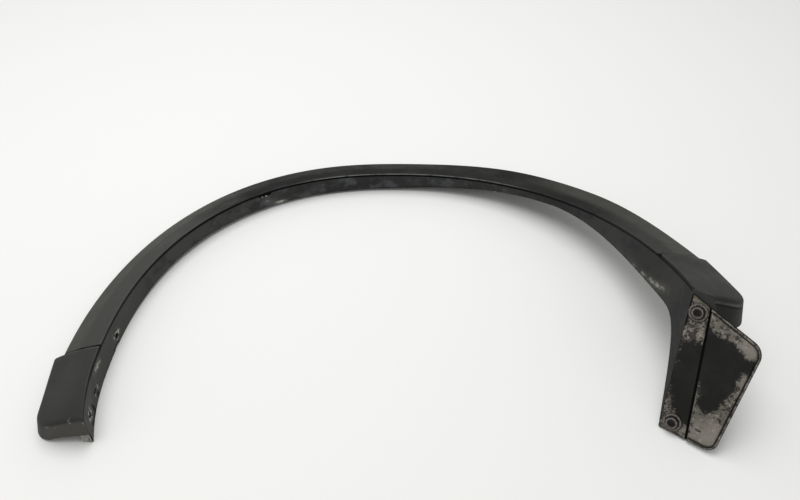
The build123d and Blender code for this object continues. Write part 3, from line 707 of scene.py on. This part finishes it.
def mud_flap():
    """Strip under the screws, thin web at the crease and a blade with a raised rim on its free sides."""
    shape = Shape()
    head, top, gap = EAR_DEPTH - WALL - GROOVE_WIDTH, EAR_DEPTH - STRIP_SLANT, CREASE_GAP
    foot = -FLAP_SAG * STRIP_LOW / BLADE_LOW
    strip = [(0, 0), (STRIP_LOW - gap, foot), (STRIP_HIGH - gap, top + 0.4), (0, head)]
    edge_rings = [(0.5, 0.0), (0, 0.4), (0, FLAP_WALL - 0.7), (0.25, FLAP_WALL - 0.2), (0.7, FLAP_WALL)]
    head_way = unit(np.array([STRIP_HIGH, top - head]))

    def strip_marks(p):
        """Painted shade in the gap beside the head of the strip, and a rubbed olive line along its upper end."""
        under = head_way[0] * (head - p[1]) + head_way[1] * p[0]
        return ease(2.6, 1.2, p[0]) * ease(116, 126, p[1]), 0.9 * math.exp(-((under - 1.6) / 1.0) ** 2)

    plate(shape, strip, (1, 1, 1.5, 1.5), edge_rings, strip_marks)
    blade = [(STRIP_LOW + gap, foot), (BLADE_LOW, -FLAP_SAG), (BLADE_HIGH, EAR_DEPTH - BLADE_FALL),
             (STRIP_HIGH + gap, top)]
    radii = (0.6, BLADE_ROUND_LOW, BLADE_ROUND_HIGH, 0.6)
    outline = rounded(blade, radii, 14)
    path = path_along([(*p, 0.0) for p in outline[14:-14]], 150)[:, :2]

    def blade_marks(p):
        """Painted shade at the foot of the rim."""
        away = np.linalg.norm(path - p, axis=1).min()
        return 0.95 * math.exp(-((away - RIM_WIDTH - 0.4) / 0.9) ** 2), 0.0

    plate(shape, blade, radii, edge_rings, blade_marks)
    web = [(STRIP_LOW - 3, foot + 0.5), (STRIP_LOW + 3, foot + 0.5), (STRIP_HIGH + 3, top - 2.2),
           (STRIP_HIGH - 3, top - 0.2)]
    # the web in the crease is all painted shade
    plate(shape, web, (0.3, 0.3, 0.3, 0.3), [(0, 0.3), (0, FLAP_WALL - 1.4)], lambda p: (1.0, 0.0))
    high = FLAP_WALL + RIM_HEIGHT
    bead = [(0, FLAP_WALL - 1.2), (0, high - 0.5), (0.15, high - 0.2), (0.5, high), (RIM_WIDTH - 0.8, high),
            (RIM_WIDTH - 0.3, high - 0.2), (RIM_WIDTH, FLAP_WALL + 0.2), (RIM_WIDTH + 0.2, FLAP_WALL - 1.2)]
    loops, places = [], []
    for i in range(len(path)):
        along = unit(path[min(i + 1, len(path) - 1)] - path[max(i - 1, 0)])
        inward = np.array([-along[1], along[0]])
        loops.append([on_ear(*(path[i] + inward * d), h) for d, h in bead])
        row = []
        for d, h in bead:
            # mud on the rim's top, painted shade on its sides
            on_top = 0.4 < d < RIM_WIDTH - 0.5
            row.append((*((path[i] + inward * d) / 100), 1.0, 0.7 if on_top else 0.0, 0.0 if on_top else 1.0, 0.0))
        places.append(row)
    shape.sweep(loops, places)
    return shape.build("mud_flap_rubber", 40)


def screw():
    """Washer-head screw on its own axis: dished washer, domed head and a six-lobed socket."""
    shape, loops, places = Shape(), [], []
    turns = np.radians(np.arange(0, 360, 7.5))
    for r, over in SCREW_PROFILE:
        height = FLAP_WALL + over
        # dust lies in the dish of the washer and on the dome of the head
        dirt = 0.85 if (8.4 < r < 10.0 or 4.9 < r < 6.4) and over > 1 else 0.3
        lobe = SOCKET_LOBE if r < SOCKET_REACH and over > 1 else 0.0
        loop = []
        for turn in turns:
            reach = r + lobe * math.cos(SOCKET_LOBES * turn)
            loop.append((reach * math.cos(turn), reach * math.sin(turn), height))
        loops.append(loop)
        places.append([(r / 100, height / 100, 0.0, dirt, 0.0, 0.0)] * len(turns))
    shape.sweep(loops, places)
    return shape.build("screw", 40, AT_ORIGIN)


# Back of the face: clip houses and gussets, each drawn on its own seat with X out and Y along the arch
def under_side(out):
    """Height of the middle of the face's wall over its wheel-side edge."""
    if out < CREASE_OUT:
        return -CREASE_DROP * out / CREASE_OUT - WALL / 2
    return -CREASE_DROP - OUTER_SLOPE * (out - CREASE_OUT) - WALL / 2


def clip_house():
    """Box under the face, open on one side, with a slot in its floor for the clip's neck."""
    shape = Shape()
    x, y, w, neck = HOUSE_WIDTH / 2, HOUSE_LENGTH / 2, HOUSE_WALL, CLIP_NECK / 2 + FIT
    low, floor = -HOUSE_DROP, -HOUSE_DROP + HOUSE_WALL
    inner, outer = under_side(CLIP_OUT - x + w), under_side(CLIP_OUT + x)
    boxes = [((-x, w - x), (-y, y), inner), ((x - w, x), (-y, y), outer), ((-x, x), (-y, w - y), outer),
             ((-x, -neck), (-y, y), floor), ((neck, x), (-y, y), floor), ((-neck, neck), (-y, -neck), floor)]
    for (x0, x1), (y0, y1), top in boxes:
        shape.sweep([[(x0, y0, z), (x1, y0, z), (x1, y1, z), (x0, y1, z)] for z in (low, top)])
    return shape.build("clip_house", 30, AT_ORIGIN)


def gusset():
    """Rib between face and flange; its foot hangs down by the depth of its seat."""
    shape = Shape()
    inner = LIP + FLANGE_WALL / 2
    outline = [(inner, under_side(inner)), (RIB_OUT, under_side(RIB_OUT)), (RIB_OUT, under_side(RIB_OUT) - RIB_NOSE),
               (inner + FLANGE_WALL, -RIB_FOOT), (inner, -RIB_FOOT)]
    shape.sweep([[(x, y, z) for x, z in outline] for y in (-RIB_WALL / 2, RIB_WALL / 2)])
    obj = shape.build("gusset", 30, AT_ORIGIN)
    obj.data.attributes.new("hang", "FLOAT", "POINT").data.foreach_set("value", [0, 0, 0, 1, 1] * 2)
    return obj


def arch_seat(angle, out, depth=0.0):
    """Seat under the face: place, turn and depth."""
    way = outward(angle)
    return edge(angle) + way * out, (0.0, 0.0, math.atan2(way[1], way[0])), depth


def flange_cutter(rise, height, length, tall):
    """Cutter through the left flange, round or slotted."""
    angle = angle_of(rise, True)
    across, along = flange_across(angle), np.cross(UP, flange_across(angle))
    half = (length - tall) / 2
    outline = []
    for turn in np.arange(32) * math.pi / 16:
        x = tall / 2 * math.cos(turn) + math.copysign(half, math.cos(turn))
        outline.append(level(edge(angle)) + UP * (height + tall / 2 * math.sin(turn)) + along * x + across * 2)
    return slab(outline, across * 16)


# Jagged outline of the tear: how far along the arch and below the shadow groove
TEAR = [(-11.5, 0.4), (-7, -0.2), (-1, 0.2), (5, -0.3), (11, 0.5), (9.2, 3.2), (6.4, 2.7), (4.1, 4.4), (0.5, 3.0),
        (-2.8, 5.2), (-5.2, 4.1), (-8.6, 3.4)]
# Slivers hanging in it: place, half width and height, lean
SLIVERS = [((-2.5, -5.6), (3.4, 3.6), 1.2), ((3.6, -4.6), (2.2, 2.4), 0.8)]
# Broken rims of the holes: hole, first turn and sweep in degrees, radius
RIMS = [(HOLE_LOW, 40, 200, 5.2), (HOLE_LOW, 255, 110, 5.6), (HOLE_HIGH, 60, 150, 5.0), (HOLE_HIGH, 235, 90, 5.4)]


def tear_frame():
    """Top of the tear on the left haunch, and the directions along the arch and out from the wheel."""
    return edge(TEAR_ANGLE) - UP * GROOVE_FLOOR, tangent(TEAR_ANGLE), outward(TEAR_ANGLE)


def tear_cutter():
    """Cutter for the tear."""
    top, along, across = tear_frame()
    return slab([top + along * x - UP * y + across * 2 for x, y in TEAR], across * 12)


def damage():
    """Broken rims round the two holes of the left flange and slivers hanging in the tear."""
    shape = Shape()
    chance = random.Random(7)
    eighths = [k * math.pi / 4 for k in range(8)]
    for (rise, height), start, sweep, radius in RIMS:
        angle = angle_of(rise, True)
        across, along = flange_across(angle), np.cross(UP, flange_across(angle))
        centre = level(edge(angle)) + UP * height + across * LIP
        loops, places = [], []
        for turn in np.radians(np.linspace(start, start + sweep, 26)):
            out = along * math.cos(turn) + UP * math.sin(turn)
            reach, thick = radius + 0.5 * math.sin(3 * turn + radius), 0.75 + 0.25 * math.sin(5 * turn + rise)
            loops.append([centre + out * (reach + thick * math.cos(k)) + across * thick * math.sin(k)
                          for k in eighths])
            places.append([(angle / 100, -height / 100, EDGE_ZONE, chance.uniform(0.6, 1.4), 0.0, 0.0)] * 8)
        shape.sweep(loops, places)
    top, along, across = tear_frame()
    top = top + across * (LIP + 1.0)
    for (x, y), (wide, tall), lean in SLIVERS:
        outline = [(x - wide, y), (x + wide, y + 0.4), (x + 0.4 * wide, y + tall)]
        rows = [[top + along * u + UP * v + across * (depth - lean * (v - y) / tall) for u, v in outline]
                for depth in (-0.5, 0.5)]
        shape.sweep(rows, [[(TEAR_ANGLE / 100, -0.1, EDGE_ZONE, 1.5, 0.0, 0.0)] * 3] * 2)
    return shape.build("arch_torn_edges", 40)


# Looks
MAP, MATH, MIX, NOISE = "ShaderNodeMapRange", "ShaderNodeMath", "ShaderNodeMix", "ShaderNodeTexNoise"
SOFT = {"interpolation_type": "SMOOTHSTEP"}
FALLING = {"To Min": 1.0, "To Max": 0.0}


def colour(text):
    """Linear colour of a hex code."""
    parts = [int(text[i:i + 2], 16) / 255 for i in (1, 3, 5)]
    return tuple(c / 12.92 if c <= 0.04045 else ((c + 0.055) / 1.055) ** 2.4 for c in parts) + (1.0,)


def add(tree, kind, inputs, result=0, **settings):
    """Adds a node with its settings and links, and gives one of its outputs."""
    node = tree.nodes.new(kind)
    for name, value in settings.items():
        setattr(node, name, value)
    for name, value in inputs.items():
        if isinstance(value, bpy.types.NodeSocket):
            tree.links.new(value, node.inputs[name])
        else:
            node.inputs[name].default_value = value
    return node.outputs[result]


def material(name):
    """New material, its tree, its shader and the point on the piece that patterns are placed by."""
    mat = bpy.data.materials.new(name)
    mat.use_nodes = True
    tree = mat.node_tree
    return mat, tree, tree.nodes["Principled BSDF"], add(tree, "ShaderNodeTexCoord", {}, "Object")


def painted(tree, name):
    """What the mesh holds at each point under a name: a vector, and its three values."""
    vector = add(tree, "ShaderNodeAttribute", {}, "Vector", attribute_name=name)
    return vector, *add(tree, "ShaderNodeSeparateXYZ", {0: vector}).node.outputs


def patches(tree, point, size, low, high, most=1.0, detail=5.0, roughness=0.6):
    """Cloudy patches about so many millimetres across: 0 where the cloud is low, most where it is high."""
    cloud = add(tree, NOISE, {"Vector": point, "Scale": 1000 / size, "Detail": detail, "Roughness": roughness})
    return add(tree, MAP, {"Value": cloud, "From Min": low, "From Max": high, "To Max": most}, **SOFT)


def specks(tree, point, size, detail, roughness, amount, weight):
    """Fine cloud that is lifted where a painted amount is high."""
    cloud = add(tree, NOISE, {"Vector": point, "Scale": 1000 / size, "Detail": detail, "Roughness": roughness})
    return add(tree, MATH, {0: amount, 1: weight, 2: cloud}, operation="MULTIPLY_ADD")


def band(tree, value, low, high, soft):
    """1 between two values, softly 0 outside them."""
    up = add(tree, MAP, {"Value": value, "From Min": low - soft, "From Max": low}, **SOFT)
    down = add(tree, MAP, {"Value": value, "From Min": high, "From Max": high + soft, **FALLING}, **SOFT)
    return add(tree, MATH, {0: up, 1: down}, operation="MULTIPLY")


def coat(tree, base, tint, *shares):
    """A colour with a tint laid over it, by the product of the shares."""
    share = shares[0]
    for other in shares[1:]:
        share = add(tree, MATH, {0: share, 1: other}, operation="MULTIPLY")
    return add(tree, MIX, {0: share, 6: base, 7: tint}, 2, data_type="RGBA")


def finish(tree, shader, base, dullness, smooth, rough):
    """Colour of the shader, and a roughness between two values."""
    tree.links.new(base, shader.inputs["Base Color"])
    gloss = add(tree, MAP, {"Value": dullness, "To Min": smooth, "To Max": rough})
    tree.links.new(gloss, shader.inputs["Roughness"])


def weathered_plastic():
    """Moulded polypropylene, once black: a fine grain, a paler left leg and outer half as painted light, a darker
    crown as painted shade, painted shade in the joint lines, painted highlights on edges, dusty scuffs and scratches.
    Along is in hundreds of degrees of arch angle and out in hundreds of millimetres."""
    mat, tree, shader, point = material("weathered moulded polypropylene")
    place, along, out, zone = painted(tree, "place")
    _, dirt, painted_shade, wear_and_highlight = painted(tree, "marks")
    base = coat(tree, colour("#333332"), colour("#3A3A39"), patches(tree, point, 91, 0.35, 0.65))
    # painted light: the left leg is drawn paler than the crown
    base = coat(tree, base, colour("#424240"), band(tree, along, 1.4, 3.0, 0.3))
    on_face = add(tree, MAP, {"Value": out, "From Min": -0.01, "From Max": 0.0}, **SOFT)
    off_ends = add(tree, MAP, {"Value": zone, "From Min": 0.5, "From Max": 1.0, **FALLING}, **SOFT)
    # painted shade: the face is drawn much darker at the crown
    crown_shade = band(tree, along, 0.4, 1.2, 0.3)
    base = coat(tree, base, colour("#171716"), crown_shade, on_face, off_ends)
    # painted light: the outer half of the face is drawn a paler, olive grey, but not at the crown
    outer = add(tree, MAP, {"Value": out, "From Min": 0.2, "From Max": 0.42, "To Max": 0.7}, **SOFT)
    off_crown = add(tree, MATH, {0: 1.0, 1: band(tree, along, 0.62, 1.2, 0.2)}, operation="SUBTRACT")
    base = coat(tree, base, colour("#45453F"), outer, off_ends, off_crown)
    # blotches on the flange, some darker, some pale and bluish
    below_edge = {"Value": out, "From Min": -0.055, "From Max": -0.04}
    on_flange = add(tree, MAP, {**below_edge, **FALLING}, **SOFT)
    dark = patches(tree, point, 31, 0.46, 0.6, 0.75, 4.0)
    base = coat(tree, base, colour("#2B2C2C"), on_flange, dark, band(tree, along, 0.0, 1.5, 0.2))
    pale = patches(tree, point, 21, 0.5, 0.66, 0.6, 4.0, 0.65)
    base = coat(tree, base, colour("#545658"), on_flange, pale, band(tree, along, 0.65, 1.32, 0.1))
    # scratches that run along the left haunch, drawn about 2 mm wide so that they show: one unit of the drawn-out
    # place is one scratch, which is the 1000 of the pattern's size
    drawn_out = add(tree, "ShaderNodeVectorMath", {0: place, 1: (9.0, 55.0, 1.0)}, operation="MULTIPLY")
    scratch = patches(tree, drawn_out, 1000, 0.54, 0.66, 0.5, 4.0, 0.7)
    clear_of_edge = add(tree, MAP, {"Value": out, "From Max": 0.04}, **SOFT)
    base = coat(tree, base, colour("#6E6E66"), scratch, band(tree, along, 1.3, 1.5, 0.06), clear_of_edge)
    # rubbed edges, with painted highlights on the wheel-side edges, the lips of the end sections and the right end's
    # bead
    base = coat(tree, base, colour("#757573"), wear_and_highlight, patches(tree, point, 17, 0.25, 0.55, 0.7))
    # film of dust, thinner on the flange, and scuffs that break up into specks at their borders
    film = add(tree, MAP, {"Value": dirt, "From Min": 0.1, "From Max": 0.6, "To Max": 0.42}, **SOFT)
    thinner = add(tree, MAP, {**below_edge, "To Min": 0.35}, **SOFT)
    base = coat(tree, base, colour("#67635B"), film, thinner)
    thick = add(tree, MAP, {"Value": dirt, "From Min": 0.4, "From Max": 1.2}, **SOFT)
    ragged = specks(tree, point, 3.3, 7.0, 0.85, dirt, 0.34)
    dust = add(tree, MAP, {"Value": ragged, "From Min": 0.72, "From Max": 0.84, "To Max": 0.9}, **SOFT)
    base = coat(tree, base, coat(tree, colour("#5F5E59"), colour("#BDBAB2"), thick), dust)
    # painted shade: the shadow groove under the face, the gaps at the steps, the cracks and the other black lines
    base = coat(tree, base, colour("#030303"), painted_shade)
    finish(tree, shader, base, patches(tree, point, 33, 0.2, 0.8), 0.5, 0.68)
    shader.inputs["Specular IOR Level"].default_value = 0.06
    # moulded grain, drawn about 0.7 mm wide so that it shows
    grain = patches(tree, point, 0.67, 0.0, 1.0, 1.0, 2.0)
    bump = add(tree, "ShaderNodeBump", {"Height": grain, "Strength": 0.35, "Distance": 0.2 / 1000})
    tree.links.new(bump, shader.inputs["Normal"])
    return mat


def muddy_rubber():
    """Moulded rubber under a thin crust of dried mud: dull black where it was wiped, pale and flaky at the sides."""
    mat, tree, shader, point = material("muddy moulded rubber")
    *_, flaky = painted(tree, "place")
    _, dirt, painted_shade, wear_and_highlight = painted(tree, "marks")
    clean = coat(tree, colour("#20201F"), colour("#272725"), patches(tree, point, 29, 0.4, 0.7))
    mud = coat(tree, colour("#66635B"), colour("#857F77"), patches(tree, point, 33, 0.38, 0.62, 1.0, 3.0))
    mud = coat(tree, mud, colour("#A8A29A"), patches(tree, point, 3.8, 0.54, 0.7, 0.6, 4.0))
    # flakes missing from the crust
    flakes = specks(tree, point, 4.8, 6.0, 0.78, flaky, 0.13)
    bare = add(tree, MAP, {"Value": flakes, "From Min": 0.62, "From Max": 0.7, "To Max": 0.85}, **SOFT)
    mud = coat(tree, mud, colour("#201F1D"), bare)
    # the crust ends in a ragged border
    ragged = specks(tree, point, 7.7, 8.0, 0.85, dirt, 0.45)
    crust = add(tree, MAP, {"Value": ragged, "From Min": 0.67, "From Max": 0.82, "To Max": 0.95}, **SOFT)
    base = coat(tree, clean, mud, crust)
    # rubbed olive line on the strip, then painted shade in the gaps and on the sides
    base = coat(tree, base, colour("#6B6A55"), wear_and_highlight)
    base = coat(tree, base, colour("#080807"), painted_shade)
    finish(tree, shader, base, crust, 0.6, 0.95)
    shader.inputs["Specular IOR Level"].default_value = 0.08
    bump = add(tree, "ShaderNodeBump", {"Height": crust, "Strength": 0.5, "Distance": 0.4 / 1000})
    tree.links.new(bump, shader.inputs["Normal"])
    return mat


def coated_steel():
    """Black-coated steel: a dark satin with dust lying in its rings."""
    mat, tree, shader, point = material("dusty black-coated steel")
    _, dirt, *_ = painted(tree, "marks")
    ragged = specks(tree, point, 1.9, 5.0, 0.6, dirt, 0.6)
    dust = add(tree, MAP, {"Value": ragged, "From Min": 0.78, "From Max": 1.05, "To Max": 0.85}, **SOFT)
    finish(tree, shader, coat(tree, colour("#131211"), colour("#78716A"), dust), dust, 0.4, 0.9)
    shader.inputs["Specular IOR Level"].default_value = 0.3
    return mat


def zinc_plating():
    """Zinc-plated spring steel: bright grey with a cloudy, slightly yellow passivation."""
    mat, tree, shader, point = material("zinc-plated spring steel")
    base = coat(tree, colour("#A6A6A1"), colour("#C0BEB6"), patches(tree, point, 6, 0.35, 0.65))
    base = coat(tree, base, colour("#B8AC84"), patches(tree, point, 14, 0.5, 0.72, 0.4))
    finish(tree, shader, base, patches(tree, point, 4, 0.3, 0.7), 0.34, 0.5)
    shader.inputs["Metallic"].default_value = 1.0
    return mat


def natural_nylon():
    """Moulded natural nylon: milky white, a little yellowed, with a waxy sheen."""
    mat, tree, shader, point = material("moulded natural nylon")
    base = coat(tree, colour("#DAD7CE"), colour("#CDC6B2"), patches(tree, point, 12, 0.4, 0.7))
    finish(tree, shader, base, patches(tree, point, 5, 0.3, 0.7), 0.38, 0.52)
    return mat


# Pieces that repeat
def copies_tree():
    """Puts a template on each seat, turned as the seat says; points that hang go down to the seat's depth."""
    tree = bpy.data.node_groups.new("copies on seats", "GeometryNodeTree")
    sockets = {"Seats": "Geometry", "Template": "Object", "Own Depth": "Float", "Material": "Material"}
    for label, kind in sockets.items():
        tree.interface.new_socket(label, in_out="INPUT", socket_type="NodeSocket" + kind)
    tree.interface.new_socket("Copies", in_out="OUTPUT", socket_type="NodeSocketGeometry")
    given = tree.nodes.new("NodeGroupInput").outputs
    turn, depth, hang = [add(tree, "GeometryNodeInputNamedAttribute", {"Name": name}, data_type=kind)
                         for name, kind in (("turn", "FLOAT_VECTOR"), ("depth", "FLOAT"), ("hang", "FLOAT"))]
    template = add(tree, "GeometryNodeObjectInfo", {"Object": given["Template"]}, "Geometry")
    seated = {"Points": given["Seats"], "Instance": template, "Rotation": turn}
    placed = add(tree, "GeometryNodeInstanceOnPoints", seated)
    real = add(tree, "GeometryNodeRealizeInstances", {"Geometry": placed})
    rest = add(tree, MATH, {0: given["Own Depth"], 1: depth}, operation="SUBTRACT")
    fall = add(tree, MATH, {0: rest, 1: hang}, operation="MULTIPLY")
    down = add(tree, "ShaderNodeCombineXYZ", {"Z": fall})
    hung = add(tree, "GeometryNodeSetPosition", {"Geometry": real, "Offset": down})
    dressed = add(tree, "GeometryNodeSetMaterial", {"Geometry": hung, "Material": given["Material"]})
    tree.links.new(dressed, tree.nodes.new("NodeGroupOutput").inputs["Copies"])
    return tree


def copies(name, template, seats, mat, own_depth=0.0):
    """Plain mesh of a template's copies on seats."""
    places, turns, depths = zip(*seats)
    mesh = bpy.data.meshes.new(name)
    mesh.from_pydata([tuple((place + SHIFT) / 1000) for place in places], [], [])
    turns = [value for turn in turns for value in turn]
    mesh.attributes.new("turn", "FLOAT_VECTOR", "POINT").data.foreach_set("vector", turns)
    depths = [depth / 1000 for depth in depths]
    mesh.attributes.new("depth", "FLOAT", "POINT").data.foreach_set("value", depths)
    obj = bpy.data.objects.new(name, mesh)
    bpy.context.scene.collection.objects.link(obj)
    # with the material on the template too, the copies have no empty slot
    template.data.materials.append(mat)
    tool = obj.modifiers.new("copies", "NODES")
    tool.node_group = COPIES
    given = {"Template": template, "Own Depth": own_depth / 1000, "Material": mat}
    for socket in COPIES.interface.items_tree:
        if socket.name in given:
            tool[socket.identifier] = given[socket.name]
    settle(obj, 40)
    bpy.data.objects.remove(template)
    return obj


COPIES = copies_tree()
plastic, rubber, steel = weathered_plastic(), muddy_rubber(), coated_steel()
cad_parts["flap_nuts"].material_slots[0].material = zinc_plating()
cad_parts["body_clips"].material_slots[0].material = natural_nylon()

face = arch_face()
flange = arch_flange()
holes = [flange_cutter(*place, *HOLE_SIZE) for place in (HOLE_LOW, HOLE_HIGH)]
cut(flange, [*holes, flange_cutter(*SLOT, *SLOT_SIZE), tear_cutter(), flange_cutter(*NOTCH, *NOTCH_SIZE)], 50)
left_end = LEFT.build("arch_left_end", left_marks)
right_end = RIGHT.build("arch_right_end", right_marks, end_ridge)
foot = left_foot()
torn = damage()
ear_plate = ear()
clip_seats = [arch_seat(angle, CLIP_OUT) for angle in CLIP_ANGLES]
houses = copies("arch_clip_houses", clip_house(), clip_seats, plastic)
# two gussets after each clip house, evenly spaced
rib_angles = [angle + (CLIP_ANGLES[1] - CLIP_ANGLES[0]) * k / 3 for angle in CLIP_ANGLES for k in (1, 2)]
rib_seats = [arch_seat(angle, 0.0, RIB_SHARE * flange_depth(angle)) for angle in rib_angles]
gussets = copies("arch_gussets", gusset(), rib_seats, plastic, RIB_FOOT)
flap = mud_flap()
ear_turn = Matrix(np.column_stack([EAR_ACROSS, EAR_UP, EAR_FRONT]).tolist()).to_euler()
screw_seats = [(on_ear(across, up), ear_turn, 0.0) for across, up in SCREWS]
screws = copies("flap_screw_heads", screw(), screw_seats, steel)

for piece in (face, flange, left_end, right_end, foot, torn, ear_plate):
    piece.data.materials.append(plastic)
flap.data.materials.append(rubber)
for piece in (face, flange, left_end, right_end, foot, torn, ear_plate, houses, gussets):
    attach(piece, "root")
    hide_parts("arch_moulding")
for piece, node, slot in ((flap, "mud_flap", "flap_rubber"), (screws, "flap_screws", "screw_steel")):
    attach(piece, "root")
    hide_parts(node)

# Floor, light and camera, in metres
FLOOR_SIZE = 12
PANEL_PLACE, PANEL_AIM = np.array([-0.35, 0.3, 2.4]), np.array([0, 0.05, 0])
PANEL_LENGTH, PANEL_WIDTH, PANEL_WATTS, ROOM_STRENGTH = 2.4, 1.6, 41, 0.62
CAMERA_PLACE, CAMERA_TILT = (0.010765, -0.698005, 0.70022), 47.5
# pixels of the photograph
PHOTO_WIDTH, PHOTO_FOCAL_LENGTH = 800, 705

scene = bpy.context.scene
bpy.ops.mesh.primitive_plane_add(size=FLOOR_SIZE, location=(0, 0, 0))
floor = bpy.context.object
floor.name = "floor"
white = bpy.data.materials.new("white table")
white.use_nodes = True
shader = white.node_tree.nodes["Principled BSDF"]
shader.inputs["Base Color"].default_value = colour("#EDEDEB")
shader.inputs["Roughness"].default_value = 0.7
shader.inputs["Specular IOR Level"].default_value = 0.15
floor.data.materials.append(white)

panel = bpy.data.lights.new("ceiling panel", "AREA")
panel.shape, panel.energy = "RECTANGLE", PANEL_WATTS
panel.size, panel.size_y = PANEL_LENGTH, PANEL_WIDTH
lamp = bpy.data.objects.new("ceiling panel", panel)
scene.collection.objects.link(lamp)
lamp.location = PANEL_PLACE
way = PANEL_AIM - PANEL_PLACE
lamp.rotation_euler = (math.acos(-way[2] / np.linalg.norm(way)), 0, math.atan2(way[0], -way[1]))
world = bpy.data.worlds.new("room")
world.use_nodes = True
sky = world.node_tree.nodes["Background"]
sky.inputs["Color"].default_value = colour("#F2F2F2")
sky.inputs["Strength"].default_value = ROOM_STRENGTH
scene.world = world

camera = bpy.data.objects.new("camera", bpy.data.cameras.new("camera"))
scene.collection.objects.link(camera)
camera.location = CAMERA_PLACE
camera.rotation_euler = (math.radians(CAMERA_TILT), 0, 0)
camera.data.sensor_width = 36
camera.data.lens = camera.data.sensor_width * PHOTO_FOCAL_LENGTH / PHOTO_WIDTH
scene.camera = camera
scene.view_settings.view_transform = "Standard"
